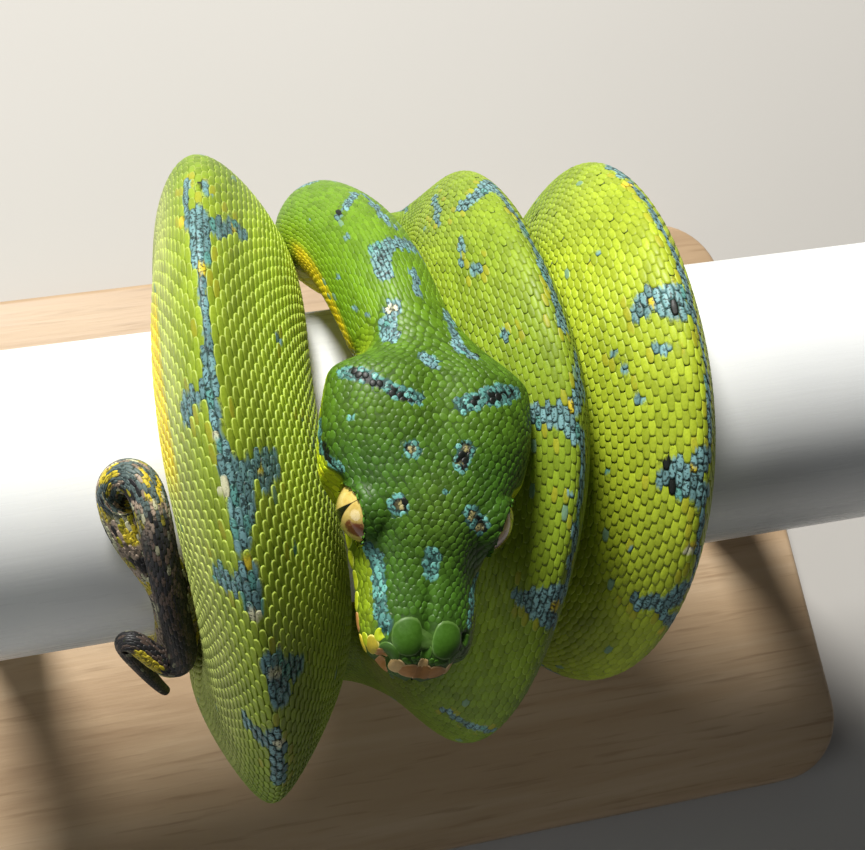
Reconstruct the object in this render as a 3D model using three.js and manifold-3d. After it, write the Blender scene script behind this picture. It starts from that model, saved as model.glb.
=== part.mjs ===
// A young green tree python coiled over a short length of white pipe, as a life-size still
// model on a plain stand. Units are millimetres, +Z is up, +X runs along the pipe and -Y is the
// near side. The origin is the centre of the stand's underside.
import * as THREE from "three";
import { mergeVertices } from "three/addons/utils/BufferGeometryUtils.js";
import Module from "manifold-3d";

const wasm = await Module();
wasm.setup();

// ---- driving dimensions -------------------------------------------------------------------
const GAP = 0.3; // air left between neighbouring solids

const PIPE_RADIUS = 16.7; // one-inch water pipe
const PIPE_WALL = 3.4;
const PIPE_LENGTH = 120;
const PERCH_HEIGHT = 58; // pipe axis above the table

const BASE = { length: 128, depth: 88, thickness: 7, corner: 10, bevel: 1 };
const ROD_RADIUS = 4;
const ROD_OFFSET = 52; // each rod's distance from the middle, along the pipe

const BELLY_GAP = 0.35; // belly to pipe
const LENGTH_GAP = 0.03; // air between two body lengths, as a share of one station step

const EYE_RADIUS = 3.3;
const EYE = { forward: 16.1, aside: 5.35, height: 31.3 };
const MOUTH_CORNER = 8.6; // distance of the mouth's corner in front of the head's origin

// ---- the body's route -----------------------------------------------------------------------
// One row for each station, from inside the head to the tail's tip: x along the pipe, the angle
// around the pipe (0 on top, positive on the near side), the belly's lift off the pipe, and how
// far the back's ridge leans towards +X, as a share of the body's height.
const ROUTE = [
  // nape and neck
  [-7.8, 30, 6.0, 0], [-7.2, 14, 7.2, 0], [-7.5, 0, 7.2, 0], [-8.6, -14, 6.4, 0.05],
  [-9.4, -31, 5.3, 0.08], [-9.8, -48, 4.3, 0.05], [-10.8, -64, 4.2, 0],
  // first bend, on the far side
  [-9.0, -81, 3.2, 0], [-4.0, -94, 1.9, 0], [3.0, -98, 0.6, 0], [7.2, -80, 0.1, 0],
  // inner coil over the pipe
  [5.0, -52, 0, 0.05], [2.1, -18, 0, 0.28], [2.7, 14, 0, 0.29], [-0.8, 42, 0, 0.28],
  [-4.0, 72, 0, 0.22],
  // bend under the near side
  [-4.2, 104, 0, 0.10], [-2.8, 134, 0, 0], [-13.4, 150, 0, 0], [-24.0, 134, 0, -0.05],
  [-22.2, 104, 0, -0.14],
  // thickest coil, at the left
  [-22.0, 76, 0, -0.18], [-22.2, 46, 0, -0.21], [-23.8, 14, 0, -0.25], [-23.4, -16, 0, -0.23],
  [-20.7, -49, 0, -0.16], [-22.3, -80, 0, -0.08],
  // bend under the far side
  [-23.0, -112, 0, 0], [-16.0, -145, 0, 0], [7.0, -147, 0, 0], [20.5, -120, 0, 0],
  // outer coil, at the right
  [21.8, -88, 0, 0], [20.3, -56, 0, 0.10], [17.2, -20, 0, 0.28], [16.7, 14, 0, 0.30],
  [14.6, 46, 0, 0.31], [12.3, 78, 0, 0.22],
  // under the pipe to the left
  [11.4, 112, 0, 0.05], [10.5, 150, 0.2, 0], [0, 181, 0.4, 0], [-15.0, 183, 0.2, 0],
  [-30.0, 165, 0, 0], [-34.2, 132, 0, 0],
  // tail: up the near side, a loop, and back down over itself
  [-33.4, 100, 0, 0], [-32.9, 70, 0, 0], [-33.1, 47, 0, 0], [-36.7, 31, 0, 0],
  [-38.3, 14, 0.3, 0], [-34.8, 12, 4.5, 0], [-34.6, 31, 6.0, 0], [-33.8, 49, 6.2, 0],
  [-32.9, 66, 6.2, 0],
  // curl at the tip
  [-35.6, 65, 5.8, 0], [-37.9, 57, 4.9, 0], [-39.3, 60, 3.9, 0], [-37.8, 71, 3.8, 0],
  [-36.1, 83, 4.6, 0], [-34.8, 94, 5.4, 0],
];
const LAST = ROUTE.length - 1;

// Body width, and height as a share of the width, each at a few stations of the route.
const WIDTH = [[0, 10.2], [3, 10.7], [7, 11.2], [10, 13.6], [13, 14.2], [21, 16], [24, 15.8], [25.2, 14.2],
  [26.4, 12.6], [29, 14.6], [32, 14.6], [34, 13.8], [36, 13.2], [39, 10.4], [41, 7.4],
  [43, 5.1], [46, 4.8], [47, 4.4], [49, 3.5], [51, 3.1], [53, 2.4], [55, 1.9], [57, 1.2]];
const TALLNESS = [[0, 0.88], [7, 0.94], [10, 0.97], [12, 1.02], [13, 1.08], [15, 1.16],
  [20, 1.25], [23, 1.24], [25.2, 1.32], [28, 1.08], [31, 0.88], [33, 0.95], [35, 1.02], [37, 1.02],
  [41, 0.92], [57, 0.9]];

// How far the section is drawn up to a ridge: 0.1 is nearly round, 0.45 a soft triangle.
const KEEL = [[6, 0.1], [9, 0.25], [12, 0.45], [23.8, 0.45], [25.3, 0.26], [28, 0.3], [31, 0.45],
  [36, 0.38], [41, 0.1]];

// The lengths that the body is divided into, each named with the station where it ends.
const NAPE_CUT = 2.2;
const LENGTHS = [["neck", 5.5], ["trunk_01", 10.4], ["trunk_02", 13.2], ["trunk_03", 16],
  ["trunk_04", 20], ["trunk_05", 23], ["trunk_06", 26], ["trunk_07", 28.5], ["trunk_08", 30.6],
  ["trunk_09", 34], ["trunk_10", 36.8], ["trunk_11", 39.6], ["trunk_12", 42.5], ["tail_1", 46],
  ["tail_2", 50], ["tail_3", LAST]];

// ---- the head's outlines --------------------------------------------------------------------
// The head has its own axes: forward from the nape, aside and up. Each outline is a smooth line
// through [distance forward, value]; heights are above the pipe's axis.
const HEAD_ORIGIN = new THREE.Vector3(-6.6, 0.4, 0);
const HEAD_YAW = THREE.MathUtils.degToRad(-12.75);
const HEAD_ROLL = THREE.MathUtils.degToRad(5); // raises the side at -X
const HEAD_PIVOT = 31; // height of the axis that the head is rolled about
const HEAD_WIDTH = [[-3, 5.6], [-1, 7.2], [1, 9.1], [3, 10.0], [5.5, 10.4], [8, 10.55],
  [10, 10.45], [12, 10.1], [14, 9.4], [15.8, 8.6], [17.4, 7.8], [19, 7.0], [20.8, 6.4],
  [23, 6.05], [25.2, 5.85], [27.3, 5.5], [28.9, 4.9], [30, 3.9], [31, 2.4], [31.6, 0.9]];
// share of the head's height at which it is widest, at the temples and along the lips
const HEAD_LEVEL = [[-3, 0.55], [4, 0.55], [9, 0.48], [12, 0.38], [20, 0.36], [27, 0.42],
  [31.6, 0.5]];
const HEAD_TOP = [[-3, 33.8], [0, 34.9], [5, 35.9], [11, 36.0], [17, 35.6], [22, 33.9],
  [27, 33.1], [30, 32.0], [31.6, 30.0]];
const HEAD_CHIN = [[-3, 25.2], [0, 25.7], [5, 25.5], [10, 24.7], [20, 24.3], [27, 25.1],
  [30, 25.7], [31.6, 27.3]];
const MOUTH_LINE = [[8.6, 27.1], [12, 26.5], [17, 26.3], [24, 26.8], [29, 27.1], [31.6, 27.4]];
const SNOUT_TIP = 31.6;
const HEAD_REAR = 3.4; // where the head's own section starts to turn into the neck's
const NAPE_STATION = 1.5; // the route's station at that place

// ---- small helpers --------------------------------------------------------------------------
function smoothstep(low, high, value) {
  const t = Math.min(Math.max((value - low) / (high - low), 0), 1);
  return t * t * (3 - 2 * t);
}

function straightBetween(points, at) {
  let i = 0;
  while (i < points.length - 2 && at > points[i + 1][0]) i += 1;
  const [x0, y0] = points[i];
  const [x1, y1] = points[i + 1];
  const t = Math.min(Math.max((at - x0) / (x1 - x0), 0), 1);
  return y0 + t * (y1 - y0);
}

function slopeAt(points, i) {
  const a = points[Math.max(i - 1, 0)];
  const b = points[Math.min(i + 1, points.length - 1)];
  return (b[1] - a[1]) / (b[0] - a[0]);
}

function smoothBetween(points, at) {
  const x = Math.min(Math.max(at, points[0][0]), points[points.length - 1][0]);
  let i = 0;
  while (i < points.length - 2 && x > points[i + 1][0]) i += 1;
  const [x0, y0] = points[i];
  const [x1, y1] = points[i + 1];
  const h = x1 - x0;
  const t = (x - x0) / h;
  const rise = (3 - 2 * t) * t * t;
  const leave = t * (1 - t) * (1 - t) * h * slopeAt(points, i);
  const arrive = t * t * (t - 1) * h * slopeAt(points, i + 1);
  return y0 + (y1 - y0) * rise + leave + arrive;
}

// A cubic B-spline through the route's neighbourhood: smooth, and never outside its stations.
function routeAt(u) {
  const i = Math.min(Math.floor(u), LAST - 1);
  const t = u - i;
  const weights = [(1 - t) ** 3, 3 * t ** 3 - 6 * t * t + 4, -3 * t ** 3 + 3 * t * t + 3 * t + 1,
    t ** 3];
  const station = (k) => {
    if (k < 0) return ROUTE[0].map((v, j) => 2 * v - ROUTE[1][j]);
    if (k > LAST) return ROUTE[LAST].map((v, j) => 2 * v - ROUTE[LAST - 1][j]);
    return ROUTE[k];
  };
  const rows = [i - 1, i, i + 1, i + 2].map(station);
  return [0, 1, 2, 3].map((j) => rows.reduce((sum, row, k) => sum + (row[j] * weights[k]) / 6, 0));
}

function spineAt(u) {
  const [x, degrees, lift, lean] = routeAt(u);
  const angle = THREE.MathUtils.degToRad(degrees);
  const width = smoothBetween(WIDTH, u);
  const height = width * smoothBetween(TALLNESS, u);
  const outward = new THREE.Vector3(0, -Math.sin(angle), Math.cos(angle));
  const belly = outward.clone().multiplyScalar(PIPE_RADIUS + BELLY_GAP + lift).setX(x);
  const middle = belly.clone().addScaledVector(outward, 0.45 * height);
  return { belly, middle, outward, width, height, lean };
}

// One ring of the body: a rounded triangle with a ridge on the back and a flat belly.
function bodyRing(u, sides) {
  const here = spineAt(u);
  const before = spineAt(Math.max(u - 0.001, 0)).middle;
  const along = spineAt(Math.min(u + 0.001, LAST)).middle.sub(before).normalize();
  const up = here.outward.clone().addScaledVector(along, -here.outward.dot(along)).normalize();
  const aside = new THREE.Vector3().crossVectors(along, up);
  const lean = here.lean * aside.x;
  const keel = smoothBetween(KEEL, u);
  const widest = (1 - Math.sqrt(1 + 8 * keel * keel)) / (4 * keel);
  const fullness = Math.sqrt(1 - widest * widest) * (1 - keel * widest);
  const ring = [];
  for (let k = 0; k < sides; k += 1) {
    const t = -Math.PI + (2 * Math.PI * k) / sides;
    const y = Math.max(here.height * ((0.5 + 0.5 * Math.cos(t)) * 1.07 - 0.07), 0);
    const half = (0.5 * here.width) / fullness;
    const x = half * Math.sin(t) * (1 - keel * Math.cos(t)) + lean * y;
    ring.push(here.belly.clone().addScaledVector(aside, x).addScaledVector(up, y));
  }
  return ring;
}

function headPoint(forward, aside, height) {
  const axis = new THREE.Vector3(1, 0, 0);
  return new THREE.Vector3(forward, aside, height - HEAD_PIVOT).applyAxisAngle(axis, -HEAD_ROLL)
    .applyAxisAngle(new THREE.Vector3(0, 0, 1), HEAD_YAW - Math.PI / 2)
    .add(new THREE.Vector3(0, 0, HEAD_PIVOT)).add(HEAD_ORIGIN);
}

// One ring of the head: round above, and drawn in below the cheeks.
function headRing(forward, sides) {
  const width = smoothBetween(HEAD_WIDTH, forward);
  const top = smoothBetween(HEAD_TOP, forward);
  const chin = smoothBetween(HEAD_CHIN, forward);
  const widest = chin + straightBetween(HEAD_LEVEL, forward) * (top - chin);
  const ring = [];
  for (let k = 0; k < sides; k += 1) {
    const t = -Math.PI + (2 * Math.PI * k) / sides;
    const sin = Math.abs(Math.sin(t));
    const cos = Math.abs(Math.cos(t));
    const upper = Math.cos(t) > 0;
    const aside = Math.sign(Math.sin(t)) * width * sin ** (upper ? 0.85 : 1.4);
    const height = upper
      ? widest + (top - widest) * cos ** 0.85
      : widest - (widest - chin) * cos ** 0.95;
    ring.push(headPoint(forward, aside, height));
  }
  return ring;
}

function napeRing(u, sides) {
  const share = smoothstep(2.7, NAPE_STATION, u);
  const neck = bodyRing(u, sides);
  const head = headRing(11.8 - 5.8 * u, sides);
  return neck.map((point, k) => point.lerp(head[k], share));
}

// Closes a row of rings into one solid, with a fan over each end.
function ringSolid(rings) {
  const sides = rings[0].length;
  const points = rings.flat();
  const centre = (ring) => ring.reduce((sum, p) => sum.add(p), new THREE.Vector3())
    .divideScalar(sides);
  const first = points.push(centre(rings[0])) - 1;
  const last = points.push(centre(rings[rings.length - 1])) - 1;
  const end = (rings.length - 1) * sides;
  const index = [];
  for (let k = 0; k < sides; k += 1) {
    const next = (k + 1) % sides;
    for (let i = 0; i < rings.length - 1; i += 1) {
      const a = i * sides + k;
      const b = i * sides + next;
      index.push(a, b, b + sides, a, b + sides, a + sides);
    }
    index.push(first, next, k, last, end + k, end + next);
  }
  const geometry = new THREE.BufferGeometry();
  const flat = points.flatMap((p) => [p.x, p.y, p.z + PERCH_HEIGHT]);
  geometry.setAttribute("position", new THREE.Float32BufferAttribute(flat, 3));
  geometry.setIndex(index);
  return geometry;
}

function toSolid(geometry) {
  const bare = geometry.clone();
  bare.deleteAttribute("normal");
  bare.deleteAttribute("uv");
  const merged = mergeVertices(bare, 1e-4);
  return new wasm.Manifold(new wasm.Mesh({
    numProp: 3,
    vertProperties: new Float32Array(merged.attributes.position.array),
    triVerts: new Uint32Array(merged.index.array),
  }));
}

function toGeometry(solid) {
  const mesh = solid.getMesh();
  const geometry = new THREE.BufferGeometry();
  geometry.setAttribute("position", new THREE.BufferAttribute(mesh.vertProperties, 3));
  geometry.setIndex(new THREE.BufferAttribute(mesh.triVerts, 1));
  geometry.computeVertexNormals();
  return geometry;
}

// ---- materials ------------------------------------------------------------------------------
const leafGreen = { color: 0x7aa81f, roughness: 0.5, metalness: 0 };
const headGreen = { color: 0x3f7f22, roughness: 0.5, metalness: 0 };
const tailDark = { color: 0x2b2d33, roughness: 0.5, metalness: 0 };
const eyeYellow = { color: 0xe2b24a, roughness: 0.1, metalness: 0 };
const pipeWhite = { color: 0xeceff0, roughness: 0.35, metalness: 0 };
const standPale = { color: 0xcdbfa6, roughness: 0.6, metalness: 0 };

const model = new THREE.Group();
function add(name, geometry, look) {
  const mesh = new THREE.Mesh(geometry, new THREE.MeshStandardMaterial(look));
  mesh.name = name;
  model.add(mesh);
}

// ---- neck, trunk and tail -------------------------------------------------------------------
const BODY_SIDES = 16;
const TAIL_SIDES = 10;
const RING_STEP = 0.32; // station steps between rings

let start = NAPE_CUT;
for (const [name, finish] of LENGTHS) {
  const isTail = name.startsWith("tail");
  const from = start + LENGTH_GAP / 2;
  const to = finish - (finish < LAST ? LENGTH_GAP / 2 : 0);
  const count = Math.ceil((to - from) / RING_STEP);
  const rings = [];
  for (let i = 0; i <= count; i += 1) {
    const u = from + ((to - from) * i) / count;
    const sides = isTail ? TAIL_SIDES : BODY_SIDES;
    rings.push(u < 2.7 ? napeRing(u, sides) : bodyRing(u, sides));
  }
  add(name, ringSolid(rings), isTail ? tailDark : leafGreen);
  start = finish;
}

// ---- head, with its eyes and lower jaw ------------------------------------------------------
const HEAD_SIDES = 20;

function wholeHead() {
  const rings = [];
  for (const forward of [SNOUT_TIP, 31.3, 30.8, 30]) rings.push(headRing(forward, HEAD_SIDES));
  for (let forward = 29; forward > 4; forward -= 1.6) rings.push(headRing(forward, HEAD_SIDES));
  for (let u = NAPE_STATION; u < NAPE_CUT - 0.05; u += 0.16) rings.push(napeRing(u, HEAD_SIDES));
  rings.push(napeRing(NAPE_CUT - LENGTH_GAP / 2, HEAD_SIDES));
  return toSolid(ringSolid(rings));
}

// Everything below the mouth line and in front of its corner, as a slab across the head.
function underMouth(clearance) {
  const outline = new THREE.Shape();
  const corner = MOUTH_CORNER - clearance;
  outline.moveTo(corner, 0);
  outline.lineTo(SNOUT_TIP + 4, 0);
  outline.lineTo(SNOUT_TIP + 4, smoothBetween(MOUTH_LINE, SNOUT_TIP) + clearance);
  for (let forward = SNOUT_TIP; forward > MOUTH_CORNER; forward -= 1.9) {
    outline.lineTo(forward, smoothBetween(MOUTH_LINE, forward) + clearance);
  }
  outline.lineTo(corner, smoothBetween(MOUTH_LINE, MOUTH_CORNER) + clearance);
  const slab = new THREE.ExtrudeGeometry(outline, { depth: 30, bevelEnabled: false });
  slab.translate(0, -HEAD_PIVOT, -15);
  slab.rotateX(Math.PI / 2 - HEAD_ROLL);
  slab.rotateZ(HEAD_YAW - Math.PI / 2);
  slab.translate(HEAD_ORIGIN.x, HEAD_ORIGIN.y, HEAD_PIVOT + PERCH_HEIGHT);
  return toSolid(slab);
}

function eyeBall(side, radius) {
  const ball = new THREE.SphereGeometry(radius, 16, 10);
  const centre = headPoint(EYE.forward, side * EYE.aside, EYE.height);
  return ball.translate(centre.x, centre.y, centre.z + PERCH_HEIGHT);
}

const head = wholeHead();
const skull = head.subtract(underMouth(GAP))
  .subtract(toSolid(eyeBall(1, EYE_RADIUS + GAP)))
  .subtract(toSolid(eyeBall(-1, EYE_RADIUS + GAP)));
add("head", toGeometry(skull), headGreen);
add("lower_jaw", toGeometry(head.intersect(underMouth(0))), headGreen);
add("eye_left", eyeBall(1, EYE_RADIUS), eyeYellow);
add("eye_right", eyeBall(-1, EYE_RADIUS), eyeYellow);

// ---- perch ----------------------------------------------------------------------------------
function perchPipe() {
  const inner = PIPE_RADIUS - PIPE_WALL;
  const chamfer = 0.6;
  const half = PIPE_LENGTH / 2;
  const profile = [[inner, -half], [PIPE_RADIUS - chamfer, -half], [PIPE_RADIUS, chamfer - half],
    [PIPE_RADIUS, half - chamfer], [PIPE_RADIUS - chamfer, half], [inner, half], [inner, -half]];
  const tube = new THREE.LatheGeometry(profile.map(([r, x]) => new THREE.Vector2(r, x)), 48);
  return tube.rotateZ(-Math.PI / 2).translate(0, 0, PERCH_HEIGHT);
}
add("perch_pipe", perchPipe(), pipeWhite);

// ---- stand ----------------------------------------------------------------------------------
function standBase() {
  const { length, depth, thickness, corner, bevel } = BASE;
  const x = length / 2 - bevel;
  const y = depth / 2 - bevel;
  const r = corner - bevel;
  const outline = new THREE.Shape();
  outline.absarc(x - r, y - r, r, 0, Math.PI / 2);
  outline.absarc(r - x, y - r, r, Math.PI / 2, Math.PI);
  outline.absarc(r - x, r - y, r, Math.PI, 1.5 * Math.PI);
  outline.absarc(x - r, r - y, r, 1.5 * Math.PI, 2 * Math.PI);
  const plate = new THREE.ExtrudeGeometry(outline, {
    depth: thickness - 2 * bevel, bevelThickness: bevel, bevelSize: bevel, bevelSegments: 1,
    curveSegments: 6,
  });
  return plate.translate(0, 0, bevel);
}

// A round rod whose top is hollowed to carry the pipe.
function standRod(x) {
  const bottom = BASE.thickness + GAP;
  const rod = new THREE.CylinderGeometry(ROD_RADIUS, ROD_RADIUS, PERCH_HEIGHT - bottom, 24);
  rod.rotateX(Math.PI / 2).translate(x, 0, (PERCH_HEIGHT + bottom) / 2);
  const seat = new THREE.CylinderGeometry(PIPE_RADIUS + GAP, PIPE_RADIUS + GAP, PIPE_LENGTH, 48);
  seat.rotateZ(Math.PI / 2).translate(x, 0, PERCH_HEIGHT);
  return toGeometry(toSolid(rod).subtract(toSolid(seat)));
}

add("stand_base", standBase(), standPale);
add("stand_rod_left", standRod(-ROD_OFFSET), standPale);
add("stand_rod_right", standRod(ROD_OFFSET), standPale);

export default model;
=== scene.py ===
"""A young green tree python coiled over a length of white pipe, on a plain display stand.

Sizes of the animal are written in millimetres, as a modeller would measure them, and become
metres when a mesh is made. Stations (u) count along the animal: negative in the head, 0 in the
nape and 57 at the tail's tip. Angles (t) around it are 0 on the back and pi under the belly.
"""
import math

import bmesh
import bpy
import numpy as np
from mathutils import Matrix, Vector
from mathutils.bvhtree import BVHTree


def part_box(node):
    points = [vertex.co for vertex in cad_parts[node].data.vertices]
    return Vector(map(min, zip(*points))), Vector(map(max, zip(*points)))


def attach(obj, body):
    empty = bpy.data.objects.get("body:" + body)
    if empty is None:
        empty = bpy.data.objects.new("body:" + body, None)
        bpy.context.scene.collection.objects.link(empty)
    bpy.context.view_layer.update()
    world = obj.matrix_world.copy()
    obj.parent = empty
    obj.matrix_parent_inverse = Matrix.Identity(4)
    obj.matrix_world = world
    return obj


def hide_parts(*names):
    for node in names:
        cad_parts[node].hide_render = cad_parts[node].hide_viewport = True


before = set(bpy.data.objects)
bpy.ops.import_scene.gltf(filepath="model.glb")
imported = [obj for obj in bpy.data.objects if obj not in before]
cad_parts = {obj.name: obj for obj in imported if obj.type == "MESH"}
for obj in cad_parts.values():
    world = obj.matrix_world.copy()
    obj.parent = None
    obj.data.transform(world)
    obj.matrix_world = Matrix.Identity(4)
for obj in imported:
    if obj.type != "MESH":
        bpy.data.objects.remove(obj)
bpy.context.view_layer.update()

# ------------------------------------------------------------
# Perch pipe: a cut length of rigid white water pipe, with its sawn ends lightly deburred.
# The wall is spun round the pipe's axis and its four edges are eased.
# ------------------------------------------------------------
PIPE_WALL = 0.0034
PIPE_EASE = 0.0005


def ride_along(name, mesh, material, nodes=()):
    """Puts a finished mesh on the part, where it stands for the given CAD nodes."""
    mesh.materials.append(material)
    piece = bpy.data.objects.new(name, mesh)
    bpy.context.scene.collection.objects.link(piece)
    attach(piece, "root")
    if nodes:
        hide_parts(*nodes)
    return piece


def add_piece(bm, name, material, nodes, sharp=40):
    """Makes a piece of bm, smooth where its faces meet at less than sharp degrees."""
    mesh = bpy.data.meshes.new(name)
    bm.to_mesh(mesh)
    bm.free()
    mesh.shade_smooth()
    mesh.set_sharp_from_angle(angle=math.radians(sharp))
    return ride_along(name, mesh, material, nodes)


def new_material(name, roughness):
    """A material with one Principled shader, and functions that set inputs and add nodes."""
    material = bpy.data.materials.new(name)
    material.use_nodes = True
    tree = material.node_tree
    shader = tree.nodes["Principled BSDF"]
    shader.inputs["Roughness"].default_value = roughness

    def feed(target, values):
        """Sets inputs by name: a plain value, or another node's output to join to."""
        for key, value in values.items():
            if isinstance(value, bpy.types.NodeSocket):
                tree.links.new(value, target.inputs[key])
            else:
                target.inputs[key].default_value = value

    def node(kind, output, values, **settings):
        made = tree.nodes.new("ShaderNode" + kind)
        for key, value in settings.items():
            setattr(made, key, value)
        feed(made, values)
        return made.outputs[output]

    return material, shader, feed, node


def noise(node, place, scale, detail, **more):
    """Soft random clouds, from 0 to 1."""
    return node("TexNoise", "Fac", {"Vector": place, "Scale": scale, "Detail": detail, **more})


def ramp(node, factor, *stops):
    """A colour picked by a factor from (position, colour) stops."""
    colour = node("ValToRGB", "Color", {"Fac": factor})
    elements = colour.node.color_ramp.elements
    while len(elements) < len(stops):
        elements.new(0.5)
    for element, (position, stop) in zip(elements, stops):
        element.position = position
        element.color = (*stop, 1)
    return colour


def graded(node, value, low, high, start=0.0, end=1.0):
    """A value that goes from start to end while another goes from low to high."""
    return node("MapRange", "Result", {"Value": value, "From Min": low, "From Max": high,
                                       "To Min": start, "To Max": end})


def mixed(node, share, first, second, how="MIX"):
    """The first colour, with a share of the second laid over it or multiplied in."""
    return node("MixRGB", "Color", {"Fac": share, "Color1": first, "Color2": second},
                blend_type=how)


def white_plastic():
    material, shader, feed, node = new_material("white_plastic", 0.32)
    place = node("TexCoord", "Object", {})
    cloud = noise(node, place, 45.0, 3.0)
    stretch = node("Mapping", "Vector", {"Vector": place, "Scale": (60.0, 900.0, 900.0)})
    scuffs = noise(node, stretch, 1.0, 4.0, Roughness=0.7)
    feed(shader, {
        "Base Color": ramp(node, cloud, (0.35, (0.80, 0.82, 0.82)), (0.7, (0.87, 0.88, 0.87))),
        "Roughness": graded(node, scuffs, 0.45, 0.75, 0.26, 0.46),
        "Normal": node("Bump", "Normal", {"Height": scuffs, "Strength": 0.06,
                                          "Distance": 0.0002})})
    return material


pipe_low, pipe_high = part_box("perch_pipe")
PERCH_HEIGHT = (pipe_low[2] + pipe_high[2]) / 2
PIPE_OUTER = (pipe_high[2] - pipe_low[2]) / 2


def ease_edges(bm, offset):
    """Rounds off every sharp edge of a closed shape."""
    rims = [edge for edge in bm.edges if edge.calc_face_angle(0) > 1]
    bmesh.ops.bevel(bm, geom=rims, offset=offset, segments=3, profile=0.5, affect="EDGES",
                    material=-1)


def pipe_mesh():
    bm = bmesh.new()
    corners = [(x, 0, PERCH_HEIGHT + r) for x, r in (
        (pipe_low[0], PIPE_OUTER), (pipe_high[0], PIPE_OUTER),
        (pipe_high[0], PIPE_OUTER - PIPE_WALL), (pipe_low[0], PIPE_OUTER - PIPE_WALL))]
    verts = [bm.verts.new(corner) for corner in corners]
    edges = [bm.edges.new((verts[k], verts[(k + 1) % 4])) for k in range(4)]
    bmesh.ops.spin(bm, geom=verts + edges, cent=(0, 0, PERCH_HEIGHT), axis=(1, 0, 0),
                   angle=2 * math.pi, steps=144, use_merge=True)
    bmesh.ops.recalc_face_normals(bm, faces=bm.faces)
    ease_edges(bm, PIPE_EASE)
    return bm


add_piece(pipe_mesh(), "perch_pipe_wall", white_plastic(), ["perch_pipe"])

# ------------------------------------------------------------
# Display stand: a pale beech board with rounded corners and two plain steel rods. Each rod is
# glued into the board and its top is hollowed to the pipe's curve.
# ------------------------------------------------------------
BOARD_CORNER = 0.0098
BOARD_EASE = 0.0009
SEAT_PLAY = 0.0003  # between the pipe and the rods' hollowed tops


def beech_wood():
    material, shader, feed, node = new_material("beech_wood", 0.5)
    place = node("TexCoord", "Object", {})
    stretch = node("Mapping", "Vector", {"Vector": place, "Scale": (9.0, 95.0, 60.0)})
    grain = noise(node, stretch, 1.0, 5.0, Roughness=0.6, Distortion=0.8)
    fine = node("Mapping", "Vector", {"Vector": place, "Scale": (90.0, 1500.0, 900.0)})
    pores = noise(node, fine, 1.0, 2.0)
    tint = ramp(node, grain, (0.3, (0.36, 0.24, 0.14)), (0.5, (0.47, 0.33, 0.20)),
                (0.72, (0.55, 0.41, 0.27)))
    flecks = graded(node, pores, 0.58, 0.75, 0.0, 0.5)
    feed(shader, {
        "Base Color": mixed(node, flecks, tint, (0.27, 0.17, 0.09, 1)),
        "Roughness": graded(node, grain, 0.2, 0.8, 0.4, 0.6),
        "Normal": node("Bump", "Normal", {"Height": pores, "Strength": 0.15,
                                          "Distance": 0.0003})})
    return material


def satin_steel():
    material, shader, feed, node = new_material("satin_steel", 0.35)
    place = node("TexCoord", "Object", {})
    stretch = node("Mapping", "Vector", {"Vector": place, "Scale": (700.0, 700.0, 9000.0)})
    lines = noise(node, stretch, 1.0, 2.0)
    feed(shader, {
        "Metallic": 1.0, "Base Color": (0.62, 0.62, 0.61, 1),
        "Roughness": graded(node, lines, 0.0, 1.0, 0.25, 0.45),
        "Normal": node("Bump", "Normal", {"Height": lines, "Strength": 0.05,
                                          "Distance": 0.0001})})
    return material


def board_mesh():
    low, high = (Vector(corner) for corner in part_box("stand_base"))
    bm = bmesh.new()
    bmesh.ops.create_cube(bm, size=1)
    bmesh.ops.scale(bm, vec=high - low, verts=bm.verts)
    bmesh.ops.translate(bm, vec=(low + high) / 2, verts=bm.verts)
    uprights = [e for e in bm.edges if abs(e.verts[0].co.z - e.verts[1].co.z) > 0.001]
    bmesh.ops.bevel(bm, geom=uprights, offset=BOARD_CORNER, segments=12, profile=0.5,
                    affect="EDGES", material=-1)
    ease_edges(bm, BOARD_EASE)
    return bm


def rod_mesh(node_name):
    low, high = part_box(node_name)
    radius = (high[0] - low[0]) / 2
    seat = PIPE_OUTER + SEAT_PLAY
    bm = bmesh.new()
    bmesh.ops.create_cone(bm, cap_ends=True, cap_tris=True, segments=48, radius1=radius,
                          radius2=radius, depth=high[2] - low[2])
    bmesh.ops.translate(bm, vec=((low[0] + high[0]) / 2, 0, (low[2] + high[2]) / 2),
                        verts=bm.verts)
    for vert in bm.verts:
        if vert.co.z > (low[2] + high[2]) / 2:
            vert.co.z = PERCH_HEIGHT - math.sqrt(seat ** 2 - vert.co.y ** 2)
    return bm


add_piece(board_mesh(), "stand_board", beech_wood(), ["stand_base"])
steel = satin_steel()
for rod_node in ("stand_rod_left", "stand_rod_right"):
    add_piece(rod_mesh(rod_node), rod_node + "_steel", steel, [rod_node])

# ------------------------------------------------------------
# The python's form: where its outer surface lies, to the tops of the scales. The body follows
# a route round the pipe with a ridged section, and the head has a section and outlines of its
# own, with its swellings and hollows. One table of points serves the skin and every scale.
# ------------------------------------------------------------
MM = 0.001
BELLY_GAP = 0.35
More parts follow.
